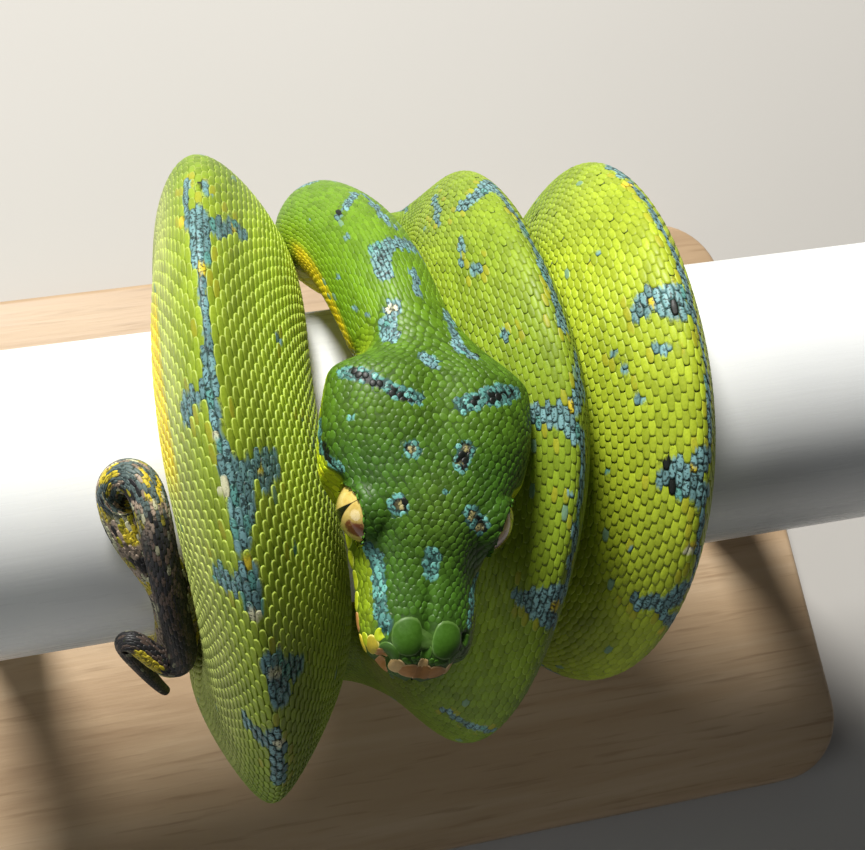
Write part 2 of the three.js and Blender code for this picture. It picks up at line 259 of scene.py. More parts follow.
# x along the pipe, degrees round it (near side positive), lift off it, lean of the back's ridge
ROUTE = np.array([
    # nape and neck
    (-7.8, 30, 6.0, 0), (-7.2, 14, 7.2, 0), (-7.5, 0, 7.2, 0), (-8.6, -14, 6.4, 0.05),
    (-9.4, -31, 5.3, 0.08), (-9.8, -48, 4.3, 0.05), (-10.8, -64, 4.2, 0),
    # first bend, on the far side
    (-9.0, -81, 3.2, 0), (-4.0, -94, 1.9, 0), (3.0, -98, 0.6, 0), (7.2, -80, 0.1, 0),
    # inner coil over the pipe
    (5.0, -52, 0, 0.05), (2.1, -18, 0, 0.28), (2.7, 14, 0, 0.29), (-0.8, 42, 0, 0.28),
    (-4.0, 72, 0, 0.22),
    # bend under the near side
    (-4.2, 104, 0, 0.10), (-2.8, 134, 0, 0), (-13.4, 150, 0, 0), (-24.0, 134, 0, -0.05),
    (-22.2, 104, 0, -0.14),
    # thickest coil, at the left
    (-22.0, 76, 0, -0.18), (-22.2, 46, 0, -0.21), (-23.8, 14, 0, -0.25),
    (-23.4, -16, 0, -0.23), (-20.7, -49, 0, -0.16), (-22.3, -80, 0, -0.08),
    # bend under the far side
    (-23.0, -112, 0, 0), (-16.0, -145, 0, 0), (7.0, -147, 0, 0), (20.5, -120, 0, 0),
    # outer coil, at the right
    (21.8, -88, 0, 0), (20.3, -56, 0, 0.10), (17.2, -20, 0, 0.28), (16.7, 14, 0, 0.30),
    (14.6, 46, 0, 0.31), (12.3, 78, 0, 0.22),
    # under the pipe to the left
    (11.4, 112, 0, 0.05), (10.5, 150, 0.2, 0), (0, 181, 0.4, 0), (-15.0, 183, 0.2, 0),
    (-30.0, 165, 0, 0), (-34.2, 132, 0, 0),
    # tail: up the near side, a loop, and back down over itself
    (-33.4, 100, 0, 0), (-32.9, 70, 0, 0), (-33.1, 47, 0, 0), (-36.7, 31, 0, 0),
    (-38.3, 14, 0.3, 0), (-34.8, 12, 4.5, 0), (-34.6, 31, 6.0, 0), (-33.8, 49, 6.2, 0),
    (-32.9, 66, 6.2, 0),
    # curl at the tip
    (-35.6, 65, 5.8, 0), (-37.9, 57, 4.9, 0), (-39.3, 60, 3.9, 0), (-37.8, 71, 3.8, 0),
    (-36.1, 83, 4.6, 0), (-34.8, 94, 5.4, 0)])
LAST = len(ROUTE) - 1
WIDTH = [(0, 10.2), (3, 10.7), (7, 11.2), (10, 13.6), (13, 14.2), (21, 16), (24, 15.8),
         (25.2, 14.2), (26.4, 12.6), (29, 14.6), (32, 14.6), (34, 13.8), (36, 13.2), (39, 10.4),
         (41, 7.4), (43, 5.1), (46, 4.8), (47, 4.4), (49, 3.5), (51, 3.1), (53, 2.4), (55, 1.9),
         (57, 1.2)]
TALLNESS = [(0, 0.88), (7, 0.94), (10, 0.97), (12, 1.02), (13, 1.08), (15, 1.16), (20, 1.25),
            (23, 1.24), (25.2, 1.32), (28, 1.08), (31, 0.88), (33, 0.95), (35, 1.02),
            (37, 1.02), (41, 0.92), (57, 0.9)]
# how far the section is drawn up to a ridge: 0.1 is nearly round, 0.45 a soft triangle
KEEL = [(6, 0.1), (9, 0.25), (12, 0.45), (23.8, 0.45), (25.3, 0.26), (28, 0.3), (31, 0.45),
        (36, 0.38), (41, 0.1)]
# the head's own axes and outlines: distance forward of its origin, and half-width or height
HEAD_ORIGIN = np.array([-6.6, 0.4, 0])
HEAD_YAW = math.radians(-12.75)
HEAD_ASIDE = np.array([math.cos(HEAD_YAW), math.sin(HEAD_YAW), 0])
HEAD_FORWARD = np.array([math.sin(HEAD_YAW), -math.cos(HEAD_YAW), 0])
HEAD_ROLL = math.radians(5)
HEAD_PIVOT = 31
NAPE_FORWARD, HEAD_STEP = 11.8, 5.8  # mm forward at station 0, and between two stations
HEAD_WIDTH = [(-3, 5.6), (-1, 7.2), (1, 9.1), (3, 10.0), (5.5, 10.4), (8, 10.55), (10, 10.45),
              (12, 10.1), (14, 9.4), (15.8, 8.6), (17.4, 7.8), (19, 7.0), (20.8, 6.4), (23, 6.05),
              (25.2, 5.85), (27.3, 5.5), (28.9, 4.9), (30, 3.9), (31, 2.4), (31.6, 0.9)]
# share of the head's height at which it is widest, at the temples and along the lips
HEAD_LEVEL = [(-3, 0.55), (4, 0.55), (9, 0.48), (12, 0.38), (20, 0.36), (27, 0.42), (31.6, 0.5)]
HEAD_TOP = [(-3, 33.8), (0, 34.9), (5, 35.9), (11, 36.0), (17, 35.6), (22, 33.9), (27, 33.1),
            (30, 32.0), (31.6, 30.0)]
HEAD_CHIN = [(-3, 25.2), (0, 25.7), (5, 25.5), (10, 24.7), (20, 24.3), (27, 25.1), (30, 25.7),
             (31.6, 27.3)]
# swellings (+) and hollows (-) of the head: forward, aside, half-length, half-width, height
HEAD_RELIEF = [
    (28.6, 2.0, 1.9, 1.7, 0.50),   # nasal lobe
    (21.8, 5.0, 2.6, 1.5, -0.55),  # hollow in front of the eye
    (17.2, 6.0, 3.2, 1.2, 0.45),   # brow over the eye
    (6.5, 6.4, 4.6, 3.2, 0.30),    # jaw muscle
    (27.0, 0.0, 4.5, 0.55, -0.38),  # furrow between the nasal lobes
    (4.0, 0.0, 6.0, 2.2, -0.45),   # furrow of the nape
    (27.8, 3.85, 0.45, 0.25, -0.7),  # nostril
    (30.2, 3.7, 0.6, 0.6, -0.9),   # pit between nose and lip
]
# the mouth's height along the head, and the eyes
LIP_LINE = [(8.6, 27.1), (12, 26.5), (17, 26.3), (24, 26.8), (29, 27.1), (31.6, 27.4)]
EYE_FORWARD, EYE_ASIDE, EYE_HEIGHT = 16.1, 5.35, 31.3
EYE_RADIUS = 3.3
EYE_OPEN = 2.45  # radius of the opening in the skin
EYE_CLEAR = 0.42  # of the skin round the opening from the ball
ORBIT_REACH = 6  # how far round the eye the skin is let down
ORBIT_LAST = 2.5  # last station that the orbits may reach
ORBIT_FLOOR = 0.9  # height of the opening's floor above the ball's centre
ORBIT_STEP = 0.95  # how much higher the skin stands just outside the opening
RIM_HEIGHT, RIM_OUT, RIM_HALF = 0.08, 0.55, 0.3  # the swollen rim round the opening
EYE_GAZE = (0.33, 0.94, -0.05)  # forward, aside and up
PUPIL_GAZE = (0.32, 0.94, -0.05)


def smoothstep(low, high, value):
    """0 before low and 1 past high, with a smooth rise between; low may be the greater."""
    t = np.clip((value - low) / (high - low), 0, 1)
    return t * t * (3 - 2 * t)


def smooth_between(points, at):
    """A smooth line through (place, value) points, read at many places."""
    x, y = np.array(points, float).T
    slope = np.gradient(y, x)
    slope[1:-1] = (y[2:] - y[:-2]) / (x[2:] - x[:-2])
    at = np.clip(at, x[0], x[-1])
    i = np.clip(np.searchsorted(x, at, side="right") - 1, 0, len(x) - 2)
    h = x[i + 1] - x[i]
    t = (at - x[i]) / h
    bend = t * (1 - t) ** 2 * h * slope[i] + t * t * (t - 1) * h * slope[i + 1]
    return y[i] + (y[i + 1] - y[i]) * t * t * (3 - 2 * t) + bend


def straight_between(points, at):
    return np.interp(at, *zip(*points))


def route_at(u):
    rows = np.vstack([2 * ROUTE[0] - ROUTE[1], ROUTE, 2 * ROUTE[-1] - ROUTE[-2]])
    i = np.clip(np.floor(u).astype(int), 0, LAST - 1)
    t = u - i
    weights = ((1 - t) ** 3, 3 * t ** 3 - 6 * t * t + 4, -3 * t ** 3 + 3 * t * t + 3 * t + 1,
               t ** 3)
    return sum(weight[:, None] * rows[i + k] / 6 for k, weight in enumerate(weights))


def spine(u):
    x, degrees, lift, lean = route_at(u).T
    angle = np.radians(degrees)
    width = smooth_between(WIDTH, u)
    height = width * smooth_between(TALLNESS, u)
    outward = np.stack([0 * x, -np.sin(angle), np.cos(angle)], 1)
    belly = outward * (PIPE_OUTER / MM + BELLY_GAP + lift)[:, None]
    belly[:, 0] = x
    return belly, belly + outward * (0.45 * height)[:, None], outward, width, height, lean


def unit(vectors):
    return vectors / np.linalg.norm(vectors, axis=-1, keepdims=True)


def body_rings(u, t):
    """Rounded triangles along the route, with a ridge on the back and a flat belly."""
    u = np.clip(u, 0, LAST)
    belly, middle, outward, width, height, lean = spine(u)
    along = unit(spine(np.minimum(u + 0.001, LAST))[1] - spine(np.maximum(u - 0.001, 0))[1])
    up = unit(outward - along * (outward * along).sum(1)[:, None])
    aside = np.cross(along, up)
    keel = smooth_between(KEEL, u)
    widest = (1 - np.sqrt(1 + 8 * keel * keel)) / (4 * keel)
    fullness = np.sqrt(1 - widest * widest) * (1 - keel * widest)
    y = np.maximum(height[:, None] * ((0.5 + 0.5 * np.cos(t)) * 1.07 - 0.07), 0)
    x = (0.5 * width / fullness)[:, None] * np.sin(t) * (1 - keel[:, None] * np.cos(t))
    x = x + (lean * aside[:, 0])[:, None] * y
    return belly[:, None] + aside[:, None] * x[..., None] + up[:, None] * y[..., None]


def head_point(forward, aside, height):
    """A place given in the head's own axes, which are turned and rolled to its left."""
    above = height - HEAD_PIVOT
    beside = aside * math.cos(HEAD_ROLL) + above * math.sin(HEAD_ROLL)
    point = (HEAD_ORIGIN + HEAD_FORWARD * np.asarray(forward)[..., None]
             + HEAD_ASIDE * np.asarray(beside)[..., None])
    point[..., 2] = HEAD_PIVOT + above * math.cos(HEAD_ROLL) - aside * math.sin(HEAD_ROLL)
    return point


def head_direction(forward, aside, up):
    start = head_point(0.0, 0.0, HEAD_PIVOT)
    return unit(head_point(forward, aside, HEAD_PIVOT + up) - start)


def in_head(points):
    """Forward, aside and height of places in the head's own axes."""
    beside = (points - HEAD_ORIGIN) @ HEAD_ASIDE
    above = points[..., 2] - HEAD_PIVOT
    return ((points - HEAD_ORIGIN) @ HEAD_FORWARD,
            beside * math.cos(HEAD_ROLL) - above * math.sin(HEAD_ROLL),
            HEAD_PIVOT + above * math.cos(HEAD_ROLL) + beside * math.sin(HEAD_ROLL))


def head_rings(forward, t):
    """Sections of the head: round above, and drawn in below the cheeks."""
    width = smooth_between(HEAD_WIDTH, forward)[:, None]
    top = smooth_between(HEAD_TOP, forward)[:, None]
    chin = smooth_between(HEAD_CHIN, forward)[:, None]
    widest = chin + straight_between(HEAD_LEVEL, forward)[:, None] * (top - chin)
    upper = np.cos(t) > 0
    sine, cosine = np.abs(np.sin(t)), np.abs(np.cos(t))
    aside = np.sign(np.sin(t)) * width * np.where(upper, sine ** 0.85, sine ** 1.4)
    height = np.where(upper, widest + (top - widest) * cosine ** 0.85,
                      widest - (widest - chin) * cosine ** 0.95)
    return head_point(forward[:, None], aside, height)


def forward_of(u):
    """How far in front of the head's origin a station of the head lies."""
    return NAPE_FORWARD - HEAD_STEP * u


def station_of(forward):
    return (NAPE_FORWARD - forward) / HEAD_STEP


def facing(points):
    """Outward directions of a table of points, rows along and columns round."""
    lengthways = np.gradient(points, axis=0)
    round_it = np.empty_like(points)
    round_it[:, 1:-1] = points[:, 2:] - points[:, :-2]
    round_it[:, 0] = round_it[:, -1] = points[:, 1] - points[:, -2]
    return unit(np.cross(round_it, lengthways) + 1e-12)


def python_form(u, t):
    share = smoothstep(2.7, 1.5, u)[:, None, None]
    points = (1 - share) * body_rings(u, t) + share * head_rings(forward_of(u), t)
    forward, aside, height = in_head(points)
    relief = np.zeros_like(forward)
    for at, beside, length, width, rise in HEAD_RELIEF:
        relief = relief + rise * np.exp(-((forward - at) / length) ** 2
                                        - ((np.abs(aside) - beside) / width) ** 2)
    relief = relief * smoothstep(2.0, 1.4, np.abs(t)) * smoothstep(-4, 0, forward)
    mouth = np.exp(-((height - smooth_between(LIP_LINE, forward)) / 0.32) ** 2)
    relief = relief - 0.45 * mouth * smoothstep(8.2, 10, forward)
    return points + facing(points) * (relief * share[..., 0])[..., None]


def eye_axis(side):
    """Centre of an eye's ball, and the way that its opening faces; side is -1 or 1."""
    return (head_point(EYE_FORWARD, side * EYE_ASIDE, EYE_HEIGHT),
            head_direction(EYE_GAZE[0], side * EYE_GAZE[1], EYE_GAZE[2]))


def from_axis(out, gaze):
    """Heights of points along a gaze, and their offsets and distances from it."""
    rise = out @ gaze
    level = out - rise[..., None] * gaze
    return rise, level, np.linalg.norm(level, axis=-1)


def with_orbits(whole):
    """Lets the skin down round each eye, so that it meets the ball along a round opening."""
    head = np.searchsorted(STATIONS, ORBIT_LAST)
    points = whole[:head]
    for side in (-1, 1):
        centre, gaze = eye_axis(side)
        rise, level, reach = from_axis(points - centre, gaze)
        close = (reach < ORBIT_REACH) & (rise > -2.2) & (rise < ORBIT_REACH)
        floor = ORBIT_FLOOR + ORBIT_STEP * smoothstep(EYE_OPEN - 0.2, EYE_OPEN + 0.15, reach)
        lowered = np.minimum(rise, floor + (rise - floor) * smoothstep(3.3, 5.2, reach))
        rim = np.exp(-((reach - EYE_OPEN - RIM_OUT) / RIM_HALF) ** 2) * (rise > 0)
        lowered = lowered + RIM_HEIGHT * rim
        moved = level + lowered[..., None] * gaze
        length = np.linalg.norm(moved, axis=-1)
        outside = np.maximum(length, EYE_RADIUS + EYE_CLEAR) / np.maximum(length, 1e-6)
        outside = 1 + (outside - 1) * smoothstep(EYE_OPEN - 0.25, EYE_OPEN + 0.05, reach)
        moved = centre + moved * outside[..., None]
        points = np.where(close[..., None], moved, points)
    return np.concatenate([points, whole[head:]])


STATIONS = np.concatenate([np.arange(-3.4138, 2.0, 0.02), np.arange(2.0, LAST + 0.001, 0.025)])
ANGLES = np.linspace(-math.pi, math.pi, 193)
BARE_FORM = python_form(STATIONS, ANGLES)
FORM = with_orbits(BARE_FORM)
FACING = facing(FORM)
STEP_ROUND = np.linalg.norm(np.diff(BARE_FORM, axis=1), axis=2)
ARC = np.concatenate([np.zeros((len(STATIONS), 1)), np.cumsum(STEP_ROUND, axis=1)], axis=1)
ARC = ARC - ARC[:, [len(ANGLES) // 2]]  # length round from the ridge
flank = BARE_FORM[:, [56, 64, 128, 136]]  # columns low on both flanks
MM_ALONG = np.concatenate([[0], np.cumsum(
    np.linalg.norm(np.diff(flank, axis=0), axis=2).mean(1))])
MM_PER_RADIAN = np.gradient(ARC, ANGLES, axis=1)


def on_table(table, u, t):
    """Reads a table of the form between its rows and columns."""
    row = np.interp(u, STATIONS, np.arange(len(STATIONS)))
    column = ((t + math.pi) / (2 * math.pi) % 1) * (len(ANGLES) - 1)
    i = np.clip(row.astype(int), 0, len(STATIONS) - 2)
    j = np.clip(column.astype(int), 0, len(ANGLES) - 2)
    a, b = row - i, column - j
    if table.ndim == 3:
        a, b = a[..., None], b[..., None]
    return ((1 - a) * (1 - b) * table[i, j] + a * (1 - b) * table[i + 1, j]
            + (1 - a) * b * table[i, j + 1] + a * b * table[i + 1, j + 1])


# ------------------------------------------------------------
# Scale sizes: small grains on the face, growing over the neck to the body's long shields, and
# small again on the tail. Rows run round the body, each half a scale out of step.
# ------------------------------------------------------------
# station and distance in mm between neighbours round the body, and between rows
SCALE_WIDTH = [(-3.42, 0.55), (-2.9, 0.66), (-2, 0.74), (0, 0.80), (2, 0.86), (5, 0.96),
               (9, 1.06), (13, 1.20), (17, 1.38), (21, 1.48), (30, 1.48), (34, 1.46), (37, 1.38),
               (41, 1.10), (44, 0.9), (50, 0.78), (57, 0.45)]
SCALE_STEP = [(-3.42, 0.40), (-2.9, 0.50), (-2, 0.56), (0, 0.60), (2, 0.61), (5, 0.64),
              (9, 0.66), (13, 0.69), (17, 0.78), (21, 0.84), (30, 0.80), (34, 0.78), (38, 0.76),
              (43, 0.60), (50, 0.50), (57, 0.30)]
SCUTE_SHARE = 0.30  # of the body's width that the belly plates cover on each side


def scale_width(u):
    return smooth_between(SCALE_WIDTH, u)


def coat_depth(u):
    """How far the skin lies below the tops of the scales."""
    return 0.13 * scale_width(u)


ROW_NUMBER = np.concatenate([[0], np.cumsum(
    np.diff(MM_ALONG) / smooth_between(SCALE_STEP, 0.5 * (STATIONS[1:] + STATIONS[:-1])))])


def belly_edge(u):
    """Length round from the ridge to the edge of the belly plates, to the left and right."""
    half = SCUTE_SHARE * smooth_between(WIDTH, np.clip(u, 0, LAST)) * smoothstep(1.5, 2.6, u)
    left = np.interp(u, STATIONS, -ARC[:, 0])
    right = np.interp(u, STATIONS, ARC[:, -1])
    return left - half, right - half


def scale_places(first, last):
    """Station, angle, row step and width of every scale between two stations."""
    low, high = np.interp([first, last], STATIONS, ROW_NUMBER)
    found = []
    for number in range(math.ceil(low), math.ceil(high)):
        u = np.interp(number, ROW_NUMBER, STATIONS)
        step = np.interp(number + 1, ROW_NUMBER, STATIONS) - u
        width = float(scale_width(np.array([u]))[0])
        left, right = belly_edge(np.array([u]))
        lanes = np.arange(-math.floor(left[0] / width) - 1, math.floor(right[0] / width) + 2)
        aside = (lanes + 0.5 * (number % 2)) * width
        aside = aside[(aside > -left[0]) & (aside < right[0])]
        t = np.interp(aside, ARC[np.searchsorted(STATIONS, u)], ANGLES)
        found.append(np.stack([np.full_like(t, u), t, np.full_like(t, step),
                               np.full_like(t, width)]))
    return np.concatenate(found, axis=1)


# ------------------------------------------------------------
# Colours. The ground is leaf green, yellower on the outer coil, pale low on the flanks and
# yellow along the belly. On the thick coil the pale left flank is partly a painted sheen, the
# cheek behind the eye is lightened as painted light, and the scales' pale rims are partly a
# painted highlight. Blue marks with black, cream and yellow scales in them follow the
# ridge and dot the head, and the tail keeps its young colours.
# ------------------------------------------------------------
def tone(red, green, blue):
    """A colour in display values as linear light."""
    value = np.array([red, green, blue]) / 255
    return np.where(value <= 0.04045, value / 12.92, ((value + 0.055) / 1.055) ** 2.4)


LEAF = tone(126, 154, 32)
OLIVE = tone(154, 176, 48)
LIME = tone(186, 202, 52)
# pale of the thick coil's left flank: partly its pale scales, partly a painted sheen where the
# light falls
PALE_FLANK_AND_SHEEN = tone(196, 202, 124)
# pale scale rims: partly the scales' pale margins, partly a painted highlight on raised rear edges
PALE_RIM_AND_HIGHLIGHT = tone(196, 206, 112)
NECK_GREEN = tone(112, 152, 26)
HEAD_GREEN = tone(64, 104, 27)
HEAD_REAR = tone(88, 124, 30)
CROWN_GREEN = tone(82, 114, 34)
CHEEK = tone(188, 204, 36)
BELLY = tone(240, 218, 70)
YOLK = tone(250, 216, 40)
ORANGE = tone(184, 174, 46)
CREAM = tone(236, 232, 196)
BLUE = tone(128, 172, 178)
TURQUOISE = tone(112, 176, 170)
BLACK = tone(24, 28, 24)
TAIL_BLACK = tone(40, 38, 42)
MAUVE = tone(150, 126, 116)
YELLOW = tone(232, 208, 60)
LIP_BROWN = tone(182, 128, 70)
TAN = tone(206, 170, 112)

# each mark is a stroke: its half-width in mm, then station and angle of each place on its way
BLUE_STROKES = [
    # neck
    (1, 3.37, -.16, 3.4, .13, 3.45, .56, 3.5, .98), (1, 3.3, -.13, 3.15, -.16, 3, -.2),
    (.7, 3.5, .98, 3.35, 1.11), (.5, 2.97, .43, 2.7, .33), (.9, 2.6, -.29, 2.52, -.39),
    (1.1, 2.42, -.56, 2.25, -.59), (.9, 6.05, -.46, 5.8, -.2),
    (.6, 4.7, .16, 4.37, -.26, 4.25, -.52), (.6, 4.32, .36, 3.87, .39),
    (.35, 4.75, .36, 4.17, .43, 3.77, .56), (.7, 2.47, .95, 2.25, .62, 2, .36),
    (.5, 2, .36, 1.89, .49), (.35, 4.77, -.98), (.35, 3.8, -.65), (.4, 3.4, -1.15),
    (.45, 2.87, -1.08), (.3, 2.67, -.82), (.7, 1.83, -.1, 1.71, -.03),
    (.5, 6.6, 0, 8.6, .2, 9.5, .8),
    # inner coil
    (1.1, 11.3, .69, 11.3, .43, 11.27, .13, 11.07, -.43),
    (.6, 11.22, -.29, 11.55, -.46, 11.77, -.43, 11.92, -.52),
    (.9, 11.92, -.52, 12.07, -.49, 12.37, -.49, 12.5, -.43),
    (.7, 12.67, -.65, 12.8, -.52, 12.92, -.36), (1.3, 13, .65, 13, .46, 13.02, .2),
    (1.1, 13.02, .2, 12.95, -.16, 12.87, -.65), (1.1, 13.05, .26, 13.1, 0, 13.12, -.26),
    (.6, 13.15, -.36, 13.3, -.43, 13.45, -.39, 13.6, -.29, 13.75, -.36, 14.1, -.3),
    (.55, 13.45, .07), (1.1, 14.17, .62, 14.15, .39, 14.07, .16, 14.07, -.36),
    (1, 14.22, .43, 14.22, .13, 14.27, -.2), (.75, 11.9, .95), (.75, 12.45, .88),
    (.35, 11.57, .95, 11.77, 1.08), (.5, 10.7, .88, 11.22, 1.11),
    # near bend
    (.9, 15.4, .2, 15.5, .9), (.8, 16.8, -.3, 17, .6), (.9, 18.6, 0, 18.7, -.8),
    # thickest coil
    (.6, 24.6, -.26, 24.37, -.33), (.5, 24.55, .1, 24.47, .23),
    (1.2, 24.3, -.16, 24.22, .03, 24.05, -.03), (1.1, 24.22, .03, 24.22, .39, 24.32, .65),
    (.9, 24.32, .65, 24.32, .79), (.6, 24.02, -.03, 23.75, -.03, 23.5, -.07, 23.42, -.1),
    (.8, 23.4, -.13, 23.35, -.23), (.9, 23.37, -.43, 23.37, -.69, 23.3, -.82),
    (.6, 23.32, -.2, 23.22, -.13, 23.07, -.03, 23.02, 0),
    (1.3, 23, 0, 22.95, .29, 22.97, .56, 23, .79), (1.1, 23, .79, 22.95, .82, 22.9, .65),
    (1.4, 22.95, .26, 22.87, .16, 22.77, .1), (1, 22.77, .07, 22.67, -.07),
    (1.2, 22.52, -.1, 22.35, -.13), (1.1, 22.5, -.79, 22.47, -.59, 22.45, -.26),
    (1.4, 22.02, .16, 21.95, .36, 21.9, .59), (1.3, 21.92, .16, 21.8, .26),
    (1.2, 21.5, -.72, 21.47, -.52, 21.47, -.2), (1, 21.55, -.1, 21.3, -.03, 21, 0),
    (.6, 23.77, 1.21), (.5, 22.5, .92), (.3, 23.25, 1.44), (.3, 24.32, 1.41), (.35, 22.92, .65),
    # far bend
    (.8, 26.2, .3, 26.5, -.4), (.9, 28, .2, 28.1, .9), (.9, 29.6, -.1, 29.7, -.8),
    (.8, 31, .3, 31.1, -.4),
    # outer coil
    (.9, 32.02, -.23, 32.3, -.2), (.45, 32.4, -.2, 32.72, -.33, 33, -.33),
    (.8, 33, -.46, 33.15, -.52, 33.3, -.52, 33.45, -.46),
    (1.1, 33.4, .79, 33.35, .65, 33.35, .39, 33.37, .03), (1.1, 33.42, .39, 33.47, .07),
    (.5, 33.47, -.46, 33.7, -.52, 34.02, -.49, 34.2, -.43, 34.27, -.33),
    (1.2, 34.47, .69, 34.4, .52, 34.42, .26, 34.32, -.1),
    (1.2, 34.5, .49, 34.52, .16, 34.55, -.1),
    (.5, 34.62, -.26, 34.77, -.23, 35, -.36, 35.17, -.43),
    (1.1, 35.37, .65, 35.32, .52, 35.32, .26, 35.25, -.03, 35.17, -.16),
    (.9, 35.4, .1, 35.5, -.43), (.5, 33.75, 1.15), (.35, 33.62, 1.24), (.5, 33.97, 1.01),
    (.5, 33.67, .69, 33.7, .52), (.35, 34.5, 1.44), (.35, 35, .98), (.35, 32.87, 1.05),
    # under the pipe
    (.9, 36.8, 0, 36.9, .7), (.9, 38.6, .1, 38.7, -.7), ]
YELLOW_SPOTS = [
    (.55, 24.3, -.43), (.5, 22.57, 0), (.6, 14.15, -.03), (.7, 32.45, 0), (.6, 34.87, 0),
    (.5, 35.55, -.1), (.5, 12.97, 0), (.5, 24.3, .65), (.5, 22.97, .62), (.5, 33.37, .59),
    (.5, 34.4, .2), (.5, 23.98, -.02)]
CREAM_SPOTS = [
    (.8, 22.92, -.23), (.7, 22.3, -.13), (.7, 21.97, .16), (.75, 21.47, .03), (.6, 34.9, .07),
    (.55, 2.57, -.36), (.5, 23.17, -.2)]
# marks of the head, as (forward, aside) strokes: blue, then black and pale scales within them
HEAD_BLUE = [
    (.75, 3.6, -8.9, 4, -7.5, 4.9, -5.8, 5.8, -4, 6.1, -2.2),
    (.85, 6.3, 2.2, 5.6, 4, 5.1, 5.8, 4.2, 7.7), (.6, 4.8, 4.9, 4.1, 6.3),
    (.6, 7.9, -10.6, 10, -10.4, 11.9, -9.6, 13, -8.9), (1, 11.2, -2.6),
    (.85, 10.6, 2.6, 12.2, 2.1), (1, 16.6, -3.6), (.85, 16.8, 3.4, 17.7, 4.5),
    (.85, 20.9, 0, 22.3, 0), (.85, 20, -5.8, 21.5, -5.1, 23.8, -4.7),
    (.7, 23.8, -4.7, 26, -4.4, 27.3, -3.7), (.55, 21.7, 5.7, 23.8, 5, 26.2, 4.4),
    (.35, 8.3, -8.2), (.3, 15.1, .9)]
HEAD_BLACK = [
    (.5, 3.6, -8.2, 5.1, -5.8, 6.1, -4, 6.2, -2.6), (.55, 6.1, 3, 4.3, 7.3), (.75, 11.2, -2.6),
    (.65, 10.6, 2.6, 12.2, 2.1), (.75, 16.6, -3.6), (.5, 16.8, 3.4, 17.7, 4.5),
    (.45, 10.3, -10.2, 12, -9.5)]
HEAD_YELLOW = [
    (.38, 11.2, -2.6), (.36, 10.5, 2.6), (.36, 12.2, 2.1), (.4, 16.6, -3.6), (.4, 17, 3.5),
    (.4, 17.8, 4.4)]


def head_place(forward, aside):
    """Station and angle of a place on the upper head, given forward and aside in mm."""
    share = min(abs(aside) / smooth_between(HEAD_WIDTH, forward), 0.999)
    return station_of(forward), math.copysign(math.asin(share ** (1 / 0.85)), aside)


def on_head(strokes):
    """Strokes over the head, given forward and aside, as strokes of stations and angles."""
    return [(width, *np.ravel([head_place(*place) for place in zip(way[::2], way[1::2])]))
            for width, *way in strokes]


def outside(strokes, u, points):
    """How far in mm each point lies outside the nearest of the strokes."""
    found = np.full(len(u), 99.0)
    for width, *way in strokes:
        route = np.reshape(way, (-1, 2)).astype(float)
        if len(route) > 1:
            cuts = np.linspace(0, len(route) - 1, 6 * len(route))
            route = np.stack([np.interp(cuts, range(len(route)), column) for column in route.T], 1)
        knots = on_table(FORM, route[:, 0], route[:, 1])
        close = np.flatnonzero((u > route[:, 0].min() - 0.9) & (u < route[:, 0].max() + 0.9))
        gaps = np.linalg.norm(points[close, None] - knots[None], axis=2)
        found[close] = np.minimum(found[close], gaps.min(1) - width)
    return found


def blend(a, b, share):
    """Colours a with a share of colours b mixed in."""
    return a + (b - a) * np.asarray(share)[:, None]


def paint(colours, where, colour):
    return np.where(where[:, None], colour, colours)


def ground_colours(u, t):
    """The green ground of head, neck and coils, before any mark."""
    left, right = belly_edge(u)
    arc = on_table(ARC, u, t)
    down = np.clip(np.where(arc < 0, -arc / left, arc / right), 0, 1)
    outer = smoothstep(31, 33, u) * smoothstep(38, 36, u)
    thick = smoothstep(18, 20.5, u) * smoothstep(27, 25.5, u)
    left_rim = (t < 0) * smoothstep(22.8, 23.2, u) * smoothstep(24.3, 23.9, u)
    throat = (t < 0) * smoothstep(2.3, 2.7, u) * smoothstep(5.4, 4.6, u)
    head = smoothstep(3.0, 1.2, u)
    forward, aside, height = in_head(on_table(FORM, u, t))
    crown = np.exp(-((forward - 17) / 5) ** 2 - (aside / 3.5) ** 2)
    cheek = smoothstep(31.8, 30.2, height) * head
    beside_snout = smoothstep(16.5, 19, forward) * smoothstep(30, 28, forward)
    # where the cheek behind the eye gets painted light, lightened against the shade on that side
    painted_light_behind_eye = smoothstep(9, 11, forward) * smoothstep(15.5, 13.5, forward)
    ground = np.tile(LEAF, (len(u), 1))
    for colour, share in (
            (NECK_GREEN, smoothstep(9.5, 5.5, u)),
            (LIME, outer * 0.85),
            (OLIVE, thick * smoothstep(20.4, 21.6, u) * smoothstep(25.0, 24.2, u)),
            (LIME, smoothstep(0.35, 0.8, down) * smoothstep(3, 5, u) * 0.5),
            (OLIVE * 1.4, thick * (t > 0) * smoothstep(0.15, 0.35, down)),
            # the thick coil's left flank: partly pale scales, partly a painted sheen
            (PALE_FLANK_AND_SHEEN, smoothstep(0.10, 0.34, down) * thick * (t < 0) * 0.7),
            (OLIVE, 0.55 * smoothstep(10, 10.8, u) * smoothstep(15, 14, u)),
            (BELLY, smoothstep(0.86, 0.96, down) * smoothstep(2.2, 3.2, u)),
            (YOLK, left_rim * smoothstep(0.35, 0.40, down)),
            (YOLK, throat * smoothstep(0.57, 0.66, down)),
            (HEAD_GREEN, head),
            (HEAD_REAR, 0.8 * head * smoothstep(13, 7, forward)),
            (CROWN_GREEN, crown * head),
            (CHEEK, cheek * smoothstep(28.8, 26, forward)),
            (LEAF * 0.9, 0.85 * cheek * beside_snout),
            # painted light: the cheek behind the eye, in shade on that side, is lightened
            (CHEEK * 1.6, cheek * painted_light_behind_eye),
            (BELLY, smoothstep(27.6, 26.6, height) * head * 0.85)):
        ground = blend(ground, colour, share)
    return ground


